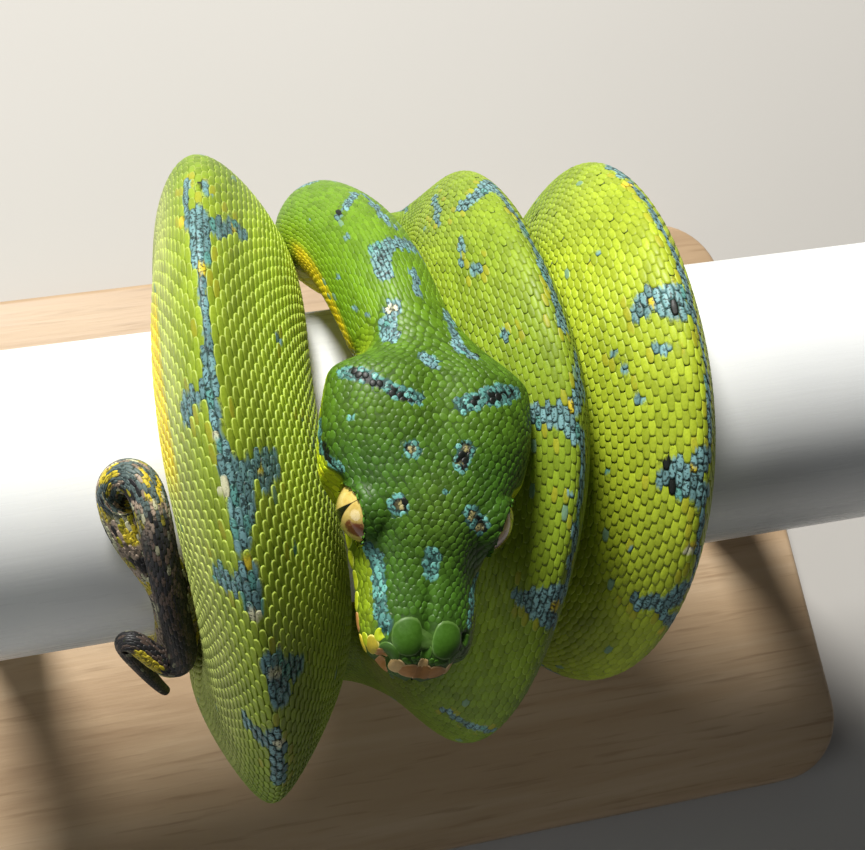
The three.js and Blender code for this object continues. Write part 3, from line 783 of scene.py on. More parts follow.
def tail_colours(u, t, chance):
    """Mauve, cream and yellow up the tail's left limb, and near-black down the right one."""
    patch = np.sin(4.1 * u + 2 * t) + np.sin(8.3 * u - 1.3 * t + 2) + 1.2 * (chance[2] - 0.5)
    young = (MAUVE + CREAM * 0.12) * (0.6 + 0.8 * chance[0])[:, None]
    young = paint(young, patch > 0.55, YELLOW * 0.9)
    young = paint(young, patch < -0.95, TAIL_BLACK)
    young = paint(young, chance[3] < 0.18, CREAM * 0.75)
    young = paint(young, chance[3] > 0.88, ORANGE * 0.8)
    turn = smoothstep(46.4, 46.9, u) * smoothstep(49.0, 48.4, u) * (chance[1] < 0.45)
    young = blend(young, BLUE * 0.3 + MAUVE * 0.15, turn)
    late = smoothstep(48.4, 49.0, u)
    dark = np.tile(TAIL_BLACK, (len(u), 1)) * (0.6 + 0.8 * chance[0])[:, None]
    dark = paint(dark, chance[3] > 0.66, MAUVE * 0.28)
    dark = paint(dark, chance[3] < 0.04, CREAM * 0.3)
    dark = paint(dark, (np.abs(u - 52.3) < 0.5) & (np.abs(t + 0.3) < 0.7), YELLOW * 0.8)
    return blend(young, dark, late)


def colours_at(u, t, chance):
    """Ground and edge colours and marks at each place; chance is six rows of random numbers."""
    points = on_table(FORM, u, t)
    body = smoothstep(3.2, 4.5, u)
    ground = ground_colours(u, t)
    vary = 0.36 + 0.22 * smoothstep(2.6, 1.8, u)  # spread of brightness between scales
    ground = ground * (1 - vary / 2 + vary * chance[0])[:, None]
    thick = smoothstep(14.8, 16.0, u) * smoothstep(29.4, 28.6, u)
    # edges paler than the ground: partly pale margins, partly a painted highlight, stronger on the
    # thick coils
    edge = blend(ground * 1.12, PALE_RIM_AND_HIGHLIGHT, 0.18 * body + 0.28 * thick)

    gap = outside(BLUE_STROKES, u, points) + 0.5 * (chance[1] - 0.5)
    head_gap = outside(on_head(HEAD_BLUE), u, points) + 0.3 * (chance[1] - 0.5)
    head_black = outside(on_head(HEAD_BLACK), u, points) + 0.25 * (chance[2] - 0.5)
    tinted = (gap > 0) & (gap < 1.3) & (chance[2] < 0.2) & (u > 10) & (u < 37)
    ground = blend(ground, ORANGE, tinted * 0.6)
    loose = (chance[3] < 0.008) & (u > 3) & (u < 40)
    ground = paint(ground, loose, (BLUE + LEAF) / 2)

    coil = gap < 0
    crest = head_gap < 0
    blue = BLUE * (0.7 + 0.55 * chance[0])[:, None]
    blue = paint(blue, chance[4] < 0.08, TURQUOISE)
    ground = paint(ground, coil, blue)
    ground = paint(ground, crest, TURQUOISE * (0.45 + 0.8 * chance[0])[:, None])
    black = (coil & (chance[5] < 0.008)) | ((head_black < 0) & (chance[5] < 0.7))
    ground = paint(ground, black, BLACK)
    edge = paint(edge, coil | crest, ground * 0.45)
    ringed = (coil & (chance[2] < 0.3)) | black | (crest & (chance[2] < 0.35))
    edge = paint(edge, ringed, BLACK)
    for spots, colour in ((YELLOW_SPOTS, YELLOW), (CREAM_SPOTS, CREAM),
                          (on_head(HEAD_YELLOW), YELLOW * 0.25 + CREAM * 0.3)):
        spot = outside(spots, u, points) < 0
        ground = paint(ground, spot, colour)
        edge = paint(edge, spot, colour * 0.3)

    tail = smoothstep(42.5, 43.5, u)
    young = tail_colours(u, t, chance)
    ground = blend(ground, young, tail)
    edge = blend(edge, young * 1.2 + 0.02, tail)
    marked = coil | crest | black
    return ground, edge, marked


# ------------------------------------------------------------
# Skin: one closed hide under the scales, from the snout to the tail's tip. It is a grid wrapped
# round the form and closed along the belly, a scale's depth below the surface, and it shows as
# the dark lines between the scales; its colour is darkened as painted shade.
# ------------------------------------------------------------
SKIN_SIDES = 96
# the hide's colour is darkened as painted shade in the gaps between scales, and darker still under
# the marks
SKIN_SHADE, MARK_SHADE = 0.62, 0.3  # the hide's colour as a share of the scales'
SKIN_STATIONS = np.concatenate([
    np.arange(STATIONS[0], -2.9, 0.03), np.arange(-2.9, 2.2, 0.05), np.arange(2.2, 42, 0.11),
    np.arange(42, LAST + 0.001, 0.1)])


def grown_skin(name, roughness, gloss_coat):
    """Satin hide or horn: colours from the piece's own attributes, broken up by fine mottling."""
    material, shader, feed, node = new_material(name, roughness)
    feed(shader, {"Coat Weight": gloss_coat, "Coat Roughness": 0.25, "Specular IOR Level": 0.25})
    ground = node("Attribute", "Color", {}, attribute_name="ground")
    edge = node("Attribute", "Color", {}, attribute_name="edge")
    rim = node("Attribute", "Fac", {}, attribute_name="rim")
    speckled = node("Attribute", "Fac", {}, attribute_name="speckle")
    place = node("TexCoord", "Object", {})
    colour = mixed(node, graded(node, rim, 0.83, 0.91), ground, edge)
    spots = graded(node, noise(node, place, 3300.0, 1.0), 0.52, 0.58, 0.0, 0.8)
    spotted = node("Math", "Value", {0: spots, 1: speckled}, operation="MULTIPLY")
    colour = mixed(node, spotted, colour, (0.010, 0.014, 0.012, 1))
    # painted shade: each scale's foot, down in the gap between scales, is multiplied darker
    foot = graded(node, rim, 0.99, 1.12)
    colour = mixed(node, foot, colour, (0.72, 0.78, 0.60, 1), "MULTIPLY")
    mottle = noise(node, place, 2600.0, 3.0, Roughness=0.6)
    fine_shade = ramp(node, mottle, (0.3, (0.80, 0.82, 0.76)), (0.7, (1.0, 1.0, 1.0)))
    clouds = noise(node, place, 160.0, 2.0)
    wide_shade = ramp(node, clouds, (0.35, (0.86, 0.88, 0.84)), (0.65, (1.0, 1.0, 1.0)))
    colour = mixed(node, 1.0, colour, fine_shade, "MULTIPLY")
    feed(shader, {
        "Base Color": mixed(node, 1.0, colour, wide_shade, "MULTIPLY"),
        "Roughness": graded(node, mottle, 0.3, 0.7, roughness - 0.08, roughness + 0.08),
        "Normal": node("Bump", "Normal", {"Height": mottle, "Strength": 0.25,
                                          "Distance": 0.00008})})
    return material


def set_colours(mesh, ground, edge, rim, speckle):
    for name, values in (("ground", ground), ("edge", edge)):
        layer = mesh.attributes.new(name, "FLOAT_COLOR", "POINT")
        rgba = np.ones((len(values), 4), np.float32)
        rgba[:, :3] = np.clip(values, 0, 1)
        layer.data.foreach_set("color", rgba.ravel())
    for name, values in (("rim", rim), ("speckle", speckle)):
        layer = mesh.attributes.new(name, "FLOAT", "POINT")
        layer.data.foreach_set("value", np.asarray(values, np.float32))


def to_metres(points):
    """Millimetres about the pipe's axis as metres in the part's own frame."""
    return points * MM + np.array([0, 0, PERCH_HEIGHT])


def wrapped_skin(stations, sides):
    """The hide, and the station and angle of each of its vertices."""
    bm = bmesh.new()
    bmesh.ops.create_grid(bm, x_segments=len(stations) - 1, y_segments=sides, size=1)
    place = np.array([vert.co[:2] for vert in bm.verts])
    u = np.interp((place[:, 0] + 1) / 2 * (len(stations) - 1), range(len(stations)), stations)
    t = place[:, 1] * math.pi
    points = on_table(FORM, u, t) - on_table(FACING, u, t) * coat_depth(u)[:, None]
    layers = bm.verts.layers.float
    station = layers.new("station")
    angle = layers.new("angle")
    for vert, point, vert_u, vert_t in zip(bm.verts, to_metres(points), u, t):
        vert.co = point
        vert[station] = vert_u
        vert[angle] = vert_t
    seam = [vert for vert in bm.verts if abs(abs(vert[angle]) - math.pi) < 1e-4]
    bmesh.ops.remove_doubles(bm, verts=seam, dist=1e-7)
    ends = [edge for edge in bm.edges if edge.is_boundary]
    bmesh.ops.holes_fill(bm, edges=ends, sides=0)
    bmesh.ops.recalc_face_normals(bm, faces=bm.faces)
    places = np.array([(vert[station], vert[angle]) for vert in bm.verts])
    for name in ("station", "angle"):
        layers.remove(layers[name])
    return bm, *places.T


hide = grown_skin("python_skin", 0.5, 0.0)
skin_nodes = [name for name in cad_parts
              if name.startswith(("head", "lower_jaw", "neck", "trunk", "tail"))]
skin_bm, skin_u, skin_t = wrapped_skin(SKIN_STATIONS, SKIN_SIDES)
skin = add_piece(skin_bm, "python_skin", hide, skin_nodes, sharp=180)
skin_chance = np.random.default_rng(5).random((6, len(skin_u)))
skin_ground, _, skin_marked = colours_at(skin_u, skin_t, skin_chance)
# painted shade: the hide between the scales is darkened
skin_ground = skin_ground * np.where(skin_marked, MARK_SHADE, SKIN_SHADE)[:, None]
bare = np.zeros(len(skin_u))
set_colours(skin.data, skin_ground, skin_ground, bare, bare)

# ------------------------------------------------------------
# Eyes: glossy balls under a clear spectacle, cream and gold with rusty blotches and an upright
# wedge of a pupil that leans back. Each is a ball sunk in the skin to more than half its depth.
# ------------------------------------------------------------
EYE_RUST = [(0.29, 0.60, 0.42), (0.12, -0.72, 0.34)]  # along, across and half-size of a blotch


def eye_glass():
    material, shader, feed, node = new_material("python_eye", 0.15)
    across = node("Attribute", "Fac", {}, attribute_name="across")
    along = node("Attribute", "Fac", {}, attribute_name="along")
    rust_share = node("Attribute", "Fac", {}, attribute_name="rust")
    fibres = noise(node, node("TexCoord", "Object", {}), 900.0, 5.0, Roughness=0.7)
    gold = ramp(node, fibres, (0.3, (0.54, 0.36, 0.07)), (0.55, (0.74, 0.56, 0.16)),
                (0.75, (0.84, 0.70, 0.32)))
    ragged = node("Math", "Value", {0: fibres, 1: rust_share}, operation="ADD")
    rust = ramp(node, ragged, (0.86, (0, 0, 0)), (1.0, (1, 1, 1)))
    iris = mixed(node, rust, gold, (0.24, 0.075, 0.03, 1))
    wide = node("Math", "Value", {0: across}, operation="ABSOLUTE")
    closing = graded(node, along, -0.75, 0.0, 0.0, 0.2)
    opening = graded(node, along, 0.1, 0.76, 0.2, 0.012)
    taper = node("Math", "Value", {0: closing, 1: opening}, operation="MINIMUM")
    slit = node("Math", "Value", {0: taper, 1: wide}, operation="SUBTRACT")
    edge = graded(node, slit, -0.012, 0.012)
    feed(shader, {"Base Color": mixed(node, edge, iris, (0.004, 0.004, 0.005, 1)),
                  "Coat Weight": 1.0, "Coat Roughness": 0.03})
    return material


def eye_mesh(side, centre, radius):
    bm = bmesh.new()
    bmesh.ops.create_uvsphere(bm, u_segments=96, v_segments=64, radius=radius)
    gaze = Vector(head_direction(PUPIL_GAZE[0], side * PUPIL_GAZE[1], PUPIL_GAZE[2]))
    upright = Vector(head_direction(-0.25, 0, 1))
    upright = (upright - gaze * upright.dot(gaze)).normalized()
    level = Vector(head_direction(1, 0, 0))
    level = (level - gaze * level.dot(gaze) - upright * level.dot(upright)).normalized()
    across = bm.verts.layers.float.new("across")
    along = bm.verts.layers.float.new("along")
    rust = bm.verts.layers.float.new("rust")
    for vert in bm.verts:
        direction = vert.co.normalized()
        vert[across] = direction.dot(level) if direction.dot(gaze) > 0 else 1.0
        vert[along] = direction.dot(upright)
        vert[rust] = max(0.75 - math.hypot(vert[along] - a, vert[across] - b) / size / 2
                         for a, b, size in EYE_RUST)
    bmesh.ops.translate(bm, vec=centre, verts=bm.verts)
    return bm


eye_material = eye_glass()
for side, eye_node in ((1, "eye_left"), (-1, "eye_right")):
    low, high = (Vector(corner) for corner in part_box(eye_node))
    add_piece(eye_mesh(side, (low + high) / 2, (high.z - low.z) / 2), eye_node + "_ball",
              eye_material, [eye_node], sharp=180)

# ------------------------------------------------------------
# Scales: horny plates that overlap a little, nearly flat, each with a sunken foot and a raised
# rear edge. Two kinds are shaped here, by insetting an outline, and set out over the form.
# Their colours carry painted light: a painted highlight on the pale rear edges, and painted
# shade on the edges away from the ridge, at some rear tips and at each foot.
# ------------------------------------------------------------
BAKE_PATCH = 0.0030
TOP_SINK = 0.3  # how far a scale's top lies below the form, in coat depths
COLOUR_REACH = 0.55  # how far towards a scale's rim its colours are read
FOOT_SHARE = 1.15  # rim share of a scale's foot, past 1 so that it can be told from the rim


def oval(sides, power, front, rear, half_width):
    """An outline between a lozenge (power 1) and an oval (power 2), in row steps and widths."""
    outline = []
    for step in range(sides):
        x, y = math.cos(2 * math.pi * step / sides), math.sin(2 * math.pi * step / sides)
        reach = (abs(x) ** power + abs(y) ** power) ** (-1 / power)
        outline.append((x * reach * (rear if x > 0 else front), y * reach * half_width))
    return outline


def faces_of(bm):
    """The corner numbers of every face of a small pattern, which is then done with."""
    bm.verts.index_update()
    faces = [[vert.index for vert in face.verts] for face in bm.faces]
    bm.free()
    return faces


def scale_template(outline, rings, pinch=1.0):
    """Vertices (rearward, aside, height), their rim share, and faces, of one scale.

    rings run from the foot inwards to the crown: radius, height, and how much higher the rear
    and lower the front of the ring lies. pinch narrows the rings more than it shortens them.
    """
    bm = bmesh.new()
    share = bm.verts.layers.float.new("share")
    cap = bm.faces.new([bm.verts.new((x, y, 0)) for x, y in outline])
    for vert in cap.verts:
        vert[share] = 1.0
        vert.co.z = rings[0][1] + rings[0][2] * vert.co.x
    for outer, inner in zip(rings, rings[1:-1]):
        bmesh.ops.inset_region(bm, faces=[cap], thickness=0, use_boundary=True)
        shrink = inner[0] / outer[0]
        narrow = max(1 - pinch * (1 - inner[0]), 0.1) / max(1 - pinch * (1 - outer[0]), 0.1)
        for vert in cap.verts:
            vert.co = (vert.co.x * shrink, vert.co.y * narrow, 0)
            vert.co.z = inner[1] + inner[2] * vert.co.x / inner[0]
            vert[share] = inner[0]
    crown = bmesh.ops.poke(bm, faces=[cap])["verts"][0]
    crown.co = (0, 0, rings[-1][1])
    crown[share] = 0
    rims = np.array([FOOT_SHARE if vert[share] > 0.99 else vert[share] for vert in bm.verts])
    return np.array([vert.co for vert in bm.verts]), rims, faces_of(bm)


def mesh_of(name, points, faces):
    """One mesh of many copies of a pattern of faces; points are (copy, corner) places in mm."""
    count, corners = points.shape[:2]
    mesh = bpy.data.meshes.new(name)
    pattern = np.concatenate(faces)
    starts = np.cumsum([0] + [len(face) for face in faces[:-1]])
    copies = np.arange(count)[:, None]
    loops = (pattern[None] + copies * corners).ravel()
    starts = (starts[None] + copies * len(pattern)).ravel()
    mesh.vertices.add(count * corners)
    mesh.vertices.foreach_set("co", to_metres(points).astype(np.float32).ravel())
    mesh.loops.add(len(loops))
    mesh.loops.foreach_set("vertex_index", loops.astype(np.int32))
    mesh.polygons.add(len(starts))
    mesh.polygons.foreach_set("loop_start", starts.astype(np.int32))
    mesh.update(calc_edges=True)
    mesh.validate()
    mesh.shade_smooth()
    return mesh, loops


def coat_piece(name, points, template, roots, colours, material):
    """Makes a coat piece of copies of a template, with a small bake patch at each root."""
    places, rims, faces = template
    mesh, loops = mesh_of(name, points, faces)
    ground, edge, spread, speckle = colours
    set_colours(mesh, ground.reshape(-1, 3), edge.reshape(-1, 3),
                (rims[None] * spread[:, None]).ravel(), np.repeat(speckle, len(places)))
    patch = places[:, :2] / np.abs(places[:, :2]).max(0) * BAKE_PATCH / 2
    uv = (roots[:, None] + patch[None]).reshape(-1, 2)[loops]
    mesh.uv_layers.new(name="OFBake").uv.foreach_set("vector", uv.astype(np.float32).ravel())
    ride_along(name, mesh, material)


def unwrapped(u, t, first, last):
    """Place on the skin's own unwrap, from the first station to the last."""
    return np.stack([0.02 + 0.96 * (u - first) / (last - first),
                     0.02 + 0.96 * (t + math.pi) / (2 * math.pi)], 1)


def scattered_scales(name, template, rows, material, seed, span, jitter, pitted, leaning):
    """Sets a template out at (station, angle, row step, width) places over the form.

    jitter is the spread of place, size and turn, pitted the share of scales whose rear tip is
    painted dark as a painted shadow in the pit there, and leaning how much lower a scale lies on
    its side away from the ridge, where its edges are then painted darker as painted shade.
    """
    draw = np.random.default_rng(seed)
    rearward, beside, height = template[0].T
    u, t, step, width = rows
    count = len(u)
    around = on_table(MM_PER_RADIAN, u, t)
    u = u + jitter * step * draw.uniform(-1, 1, count)
    t = t + jitter * 0.6 * width / around * draw.uniform(-1, 1, count)
    size = 1 + jitter * draw.uniform(-0.6, 0.6, count)[:, None]
    turn = jitter * draw.uniform(-1, 1, count)[:, None]
    rise = 1 + jitter * draw.uniform(-1, 1, count)[:, None]
    x = (rearward * np.cos(turn) - beside * np.sin(turn)) * size
    y = (beside * np.cos(turn) + rearward * np.sin(turn)) * size
    uu = np.clip(u[:, None] + x * step[:, None], STATIONS[0], LAST)
    tt = t[:, None] + y * (width / around)[:, None]
    outward = np.sign(t)[:, None] * beside
    lift = (np.minimum(height * rise - leaning * outward, 0) - TOP_SINK) * coat_depth(u)[:, None]
    points = on_table(FORM, uu, tt) + on_table(FACING, uu, tt) * lift[..., None]

    chance = np.repeat(draw.random((6, count)), len(rearward), 1)
    near_u = (u[:, None] + COLOUR_REACH * (uu - u[:, None])).ravel()
    near_t = (t[:, None] + COLOUR_REACH * (tt - t[:, None])).ravel()
    ground, edge, marked = colours_at(near_u, near_t, chance)
    ground, edge = ground.reshape(count, -1, 3), edge.reshape(count, -1, 3)
    marked = marked.reshape(count, -1).mean(1)
    in_mark = marked > 0.3
    # painted shadow: some scales get their rear tip painted dark, where shade falls in the gap
    # behind it
    shadowed_tips = draw.random(count) < np.where(in_mark, 0, pitted)
    # the rear of each scale takes the pale edge colour, partly a painted highlight on its raised
    # rear margin
    edging = np.clip(rearward / rearward.max() * 1.6 + 0.6, 0, 1)
    # painted shade: on flat shields the edges on the side away from the ridge are painted darker
    # than the ground, but no darker than 0.55 of it
    shaded_outer_side = (outward > 0.1) & (rearward < 0.95) & (leaning > 0)
    edging = edging * np.where(shaded_outer_side, -0.6, 1.0)
    edging = np.where(in_mark[:, None], 1, edging)
    edge = np.maximum(ground + (edge - ground) * edging[..., None], ground * 0.55)
    edge[shadowed_tips[:, None] & (rearward > 0.75 * rearward.max())] = LEAF * 0.25
    speckle = np.maximum(marked, 0.8 * smoothstep(43, 44, u))
    coat_piece(name, points, template, unwrapped(u, t, *span),
               (ground, edge, 1 + 0.1 * marked, speckle), material)


scale_material = grown_skin("python_scale", 0.48, 0.04)
# flat six-sided shields for the thick coils, and narrower ovals with free tips for the others
shield_outline = [
    (1.10, -0.10), (1.10, 0.10), (0.88, 0.235), (0.25, 0.30), (-0.35, 0.295), (-0.92, 0.20),
    (-1.18, 0.07), (-1.18, -0.07), (-0.92, -0.20), (-0.35, -0.295), (0.25, -0.30),
    (0.88, -0.235)]
flat_shield = scale_template(shield_outline, [
    (1.0, -1.0, 0.0), (0.98, -0.40, 0.36), (0.85, -0.26, 0.26), (0, -0.20, 0)], pinch=1.9)
oval_shield = scale_template(shield_outline, [
    (1.0, -0.70, 0.0), (0.94, -0.30, 0.20), (0.70, -0.16, 0.14), (0, -0.08, 0)], pinch=1.6)
COAT_LENGTHS = [
    ("neck_scales", 2.6, 7.0, 0), ("far_neck_scales", 7.0, 9.8, 0),
    ("inner_coil_scales", 9.8, 12.4, 0), ("lower_inner_scales", 12.4, 15.2, 0),
    ("near_bend_scales", 15.2, 17.8, 1), ("lower_bend_scales", 17.8, 20.4, 1),
    ("thick_coil_scales", 20.4, 23.1, 1), ("upper_coil_scales", 23.1, 26.0, 1),
    ("far_bend_scales", 26.0, 29.0, 1), ("outer_bend_scales", 29.0, 31.8, 0),
    ("outer_coil_scales", 31.8, 34.6, 0), ("lower_outer_scales", 34.6, 37.6, 0),
    ("under_pipe_scales", 37.6, 43.0, 0), ("tail_scales", 43.0, 56.9, 0)]
for number, (coat_name, first, last, flat) in enumerate(COAT_LENGTHS):
    scattered_scales(coat_name, flat_shield if flat else oval_shield, scale_places(first, last),
                     scale_material, 20 + number, (first, last), jitter=0.05,
                     pitted=0.0 if flat else 0.06, leaning=1.0 if flat else 0.0)

# ------------------------------------------------------------
# Belly plates: one broad plate across the belly for every two rows of scales, from the throat
# to the tail's tip, each overlapping the next.
# ------------------------------------------------------------
PLATE_ACROSS = 12
PLATE_REACH, PLATE_SHIFT = 1.25, 0.2  # half-length and place of a plate, in row steps
PLATE_LAP = 0.6  # how much lower a plate's rear edge is turned down
PLATE_TUCK = 1.04  # how far plates reach under the scales beside them


def plate_template():
    """A plate as (rearward, across, height): across runs from -1 to 1 over the belly."""
    bm = bmesh.new()
    bmesh.ops.create_grid(bm, x_segments=3, y_segments=PLATE_ACROSS, size=1)
    places, rims = [], []
    for vert in bm.verts:
        x, y = vert.co.x, vert.co.y
        end = abs(y) > 0.99
        front, rear = x < -0.9, x > 0.9
        height = -1.0 if end or front else -0.25 + 0.25 * x
        places.append((PLATE_REACH * x + PLATE_SHIFT, y, height - (PLATE_LAP if rear else 0)))
        rims.append(0.9 if rear else 0.1)
    return np.array(places), np.array(rims), faces_of(bm)


def belly_plates(name, first, last):
    places, rims, faces = template = plate_template()
    low, high = np.interp([first, last], STATIONS, ROW_NUMBER)
    number = np.arange(math.ceil(low), high, 2)
    u = np.interp(number, ROW_NUMBER, STATIONS)
    step = np.interp(number + 1, ROW_NUMBER, STATIONS) - u
    left, right = belly_edge(u)
    rows = np.searchsorted(STATIONS, u)
    t_left = np.array([np.interp(-a, ARC[i], ANGLES) for a, i in zip(left, rows)])
    t_right = np.array([np.interp(a, ARC[i], ANGLES) for a, i in zip(right, rows)])
    half = (2 * math.pi - (t_right - t_left)) / 2
    uu = np.clip(u[:, None] + places[:, 0] * step[:, None], STATIONS[0], LAST)
    tt = (t_right + half)[:, None] + places[:, 1] * half[:, None] * PLATE_TUCK
    points = on_table(FORM, uu, tt)
    points += on_table(FACING, uu, tt) * (places[:, 2] * coat_depth(u)[:, None])[..., None]
    draw = np.random.default_rng(3)
    tail = smoothstep(42.5, 44.5, u)[:, None]
    pale = BELLY + (CREAM - BELLY) * 0.6 * draw.random(len(u))[:, None]
    ground = pale * (1 - tail) + (TAIL_BLACK * 1.4) * tail
    grounds = np.repeat(ground[:, None], len(places), 1)
    roots = unwrapped(u, np.zeros(len(u)), first, last)
    coat_piece(name, points, template, roots,
               (grounds, grounds * 0.75, np.ones(len(u)), np.zeros(len(u))), scale_material)


belly_plates("belly_plates", 2.4, 43.0)
belly_plates("under_tail_plates", 43.0, 56.6)

# ------------------------------------------------------------
# Head scales: fine glossy grains, left out where the eyes, the big smooth plates of the snout
# and the lip scales lie. Those plates are shaped flat and pressed onto the form one by one.
# ------------------------------------------------------------
# plates of the snout: forward, aside, height, half-length, half-width, degrees turned, colour
SNOUT_PLATES = [
    (28.4, -1.8, 32.9, 2.05, 1.95, 12, HEAD_GREEN), (28.5, 1.95, 32.9, 2.05, 1.9, -14, HEAD_GREEN),
    (29.6, -3.3, 31.6, 1.2, 1.05, 30, HEAD_GREEN), (29.9, 3.2, 31.8, 0.8, 0.7, -30, HEAD_GREEN),
    (29.5, 0.08, 32.2, 0.8, 0.6, 0, HEAD_GREEN), (30.3, 0.05, 31.3, 0.7, 0.5, 0, TAN),
    (28.1, -4.5, 31.7, 0.7, 0.5, -30, CHEEK), (28.1, 4.3, 31.9, 0.7, 0.5, 30, HEAD_GREEN),
    (28.2, -5.2, 29.6, 0.75, 0.6, 0, CHEEK),
    (28.9, -4.6, 30.3, 0.95, 1.2, 50, YELLOW * 0.7), (29.8, -3.6, 30.5, 0.9, 1.2, 38, LIP_BROWN),
    (30.5, -2.4, 30.6, 0.95, 1.2, 24, TAN), (30.9, -1.1, 30.5, 1.0, 1.2, 8, LIP_BROWN),
    (31.0, 0.25, 30.4, 1.15, 1.1, 0, LIP_BROWN * 0.8), (30.9, 1.5, 30.4, 1.0, 1.2, -10, LIP_BROWN),
    (30.3, 2.8, 30.3, 0.95, 1.2, -26, TAN)]
LIP_SIDES = 11  # lip scales on each side, above and below the mouth
LIP_OFFSET = 1.15  # of their centres from the line of the mouth
LIP_HALVES = (1.06, 0.98)
RING_SCALES = 24  # small scales in the ring round each eye
RING_HALF = 0.42
RING_RISE = 1.7  # height of the ring above the ball's centre
GRAIN_DRIFT = 0.3  # how far the rows of grains wander, in scale widths
# how far from the mouth, the eye's opening and a nostril no grain is set
LIP_BARE, EYE_BARE, NOSTRIL_BARE = 2.0, 0.85, 0.62
NOSTRIL = (27.8, 3.8, 32.5)  # forward, aside and height
HEAD_MIDDLE = 29.5  # height of the axis that the head's plates are unwrapped about
HEAD_SPAN = (STATIONS[0], 2.6)
plate = scale_template(oval(20, 2.3, 1, 1, 1), [
    (1.0, -1.5, 0.1), (0.95, -0.50, 0.1), (0.84, -0.2, 0.05), (0.55, -0.08, 0), (0.28, -0.02, 0),
    (0, 0.0, 0)])

rows, columns = np.searchsorted(STATIONS, 3.0), len(ANGLES) - 1
head_points = FORM[:rows].reshape(-1, 3)
corner = (np.arange(rows - 1)[:, None] * (columns + 1) + np.arange(columns)[None]).ravel()
head_faces = np.stack([corner, corner + 1, corner + columns + 2, corner + columns + 1], 1)
head_surface = BVHTree.FromPolygons(head_points.tolist(), head_faces.tolist())


def pressed_on(point):
    """The nearest place on the head's surface, and the outward direction there."""
    place, _, index, _ = head_surface.find_nearest(Vector(point))
    return place, Vector(FACING[divmod(index, columns)])


def plate_piece(name, plates, grounds, edges, depth):
    """Presses plates onto the head; each is a centre, half-length, half-width and turn.

    depth is what one unit of a plate's height comes to in mm.
    """
    places = plate[0]
    points = np.empty((len(plates), len(places), 3))
    for number, (centre, length, width, turn) in enumerate(plates):
        middle, outward = pressed_on(centre)
        rearward = Vector(-HEAD_FORWARD)
        rearward = (rearward - outward * rearward.dot(outward)).normalized()
        rearward = Matrix.Rotation(math.radians(turn), 3, outward) @ rearward
        beside = outward.cross(rearward)
        for corner, (x, y, height) in enumerate(places):
            place, normal = pressed_on(middle + rearward * (x * length) + beside * (y * width))
            points[number, corner] = place + normal * (height * depth)
    forward, aside, height = in_head(points.mean(1))
    angle = np.arctan2(aside, height - HEAD_MIDDLE)
    roots = unwrapped(station_of(forward), angle, *HEAD_SPAN)
    colours = [np.repeat(np.array(rows)[:, None], len(places), 1) for rows in (grounds, edges)]
    coat_piece(name, points, plate, roots,
               (*colours, np.ones(len(roots)), np.zeros(len(roots))), head_material)


head_material = grown_skin("python_head", 0.46, 0.05)
snout = [(head_point(forward, aside, height), length, width, turn)
         for forward, aside, height, length, width, turn, colour in SNOUT_PLATES]
snout_colours = [row[-1] for row in SNOUT_PLATES]
plate_piece("snout_plates", snout, snout_colours,
            [colour * 1.15 + CREAM * (0.05 if colour[1] > colour[0] else 0.3)
             for colour in snout_colours], depth=0.07)

lips, lip_colours = [], []
lip_forward = np.linspace(30.4, 10.2, LIP_SIDES)
for side in (-1, 1):
    for order, forward in enumerate(lip_forward):
        for level in (1, -1):
            line = float(smooth_between(LIP_LINE, forward))
            beside = side * float(smooth_between(HEAD_WIDTH, forward))
            centre = head_point(forward, beside, line + LIP_OFFSET * level)
            lips.append((centre, *LIP_HALVES, 8 * side))
            colour = CHEEK * (0.9 if level > 0 else 1) + BELLY * (0.1 if level > 0 else 0.4)
            if level > 0 and order < 3:
                colour = (LIP_BROWN, YELLOW, LIP_BROWN * 1.3)[order]
            lip_colours.append(colour)
lip_edges = [colour * 1.1 + CREAM * 0.15 for colour in lip_colours]
plate_piece("lip_scales", lips, lip_colours, lip_edges, depth=0.2)

rings, ring_ground = [], []
for side in (-1, 1):
    centre, gaze = eye_axis(side)
    first = unit(np.cross(gaze, [0, 0, 1]))
    second = np.cross(gaze, first)
    for step in range(RING_SCALES):
        angle = 2 * math.pi * step / RING_SCALES
        around = first * math.cos(angle) + second * math.sin(angle)
        rings.append((centre + gaze * RING_RISE + around * (EYE_OPEN + RING_HALF), RING_HALF,
                      RING_HALF, 0))
        ring_ground.append(CHEEK * 0.8 if around[2] < 0.2 else HEAD_GREEN * 1.15)
ring_edges = [colour * 1.5 for colour in ring_ground]
plate_piece("eye_ring_scales", rings, ring_ground, ring_edges, depth=0.16)

grain = scale_template(oval(10, 2.0, 0.78, 0.80, 0.49), [
    (1.0, -1.0, 0.0), (0.88, -0.52, 0.14), (0.58, -0.26, 0.08), (0, -0.16, 0)])
u, t, step, width = scale_places(STATIONS[0] + 0.06, HEAD_SPAN[1])
wander = GRAIN_DRIFT * np.sin(2.1 * t * 4 + 5 * u) * np.sin(9.0 * u + 3 * t)
drift = GRAIN_DRIFT * np.sin(8.3 * u - 7 * t + 1) * np.cos(5.0 * t)
u = np.clip(u + drift * step, STATIONS[0] + 0.04, 2.62)
t = t + wander * width / on_table(MM_PER_RADIAN, u, t)
grains = np.stack([u, t, step, width])
grain_points = on_table(FORM, u, t)
forward, aside, height = in_head(grain_points)
above_lip = np.abs(height - smooth_between(LIP_LINE, forward))
clear = ~((above_lip < LIP_BARE) & (forward > 9.2) & (forward < 31.0))
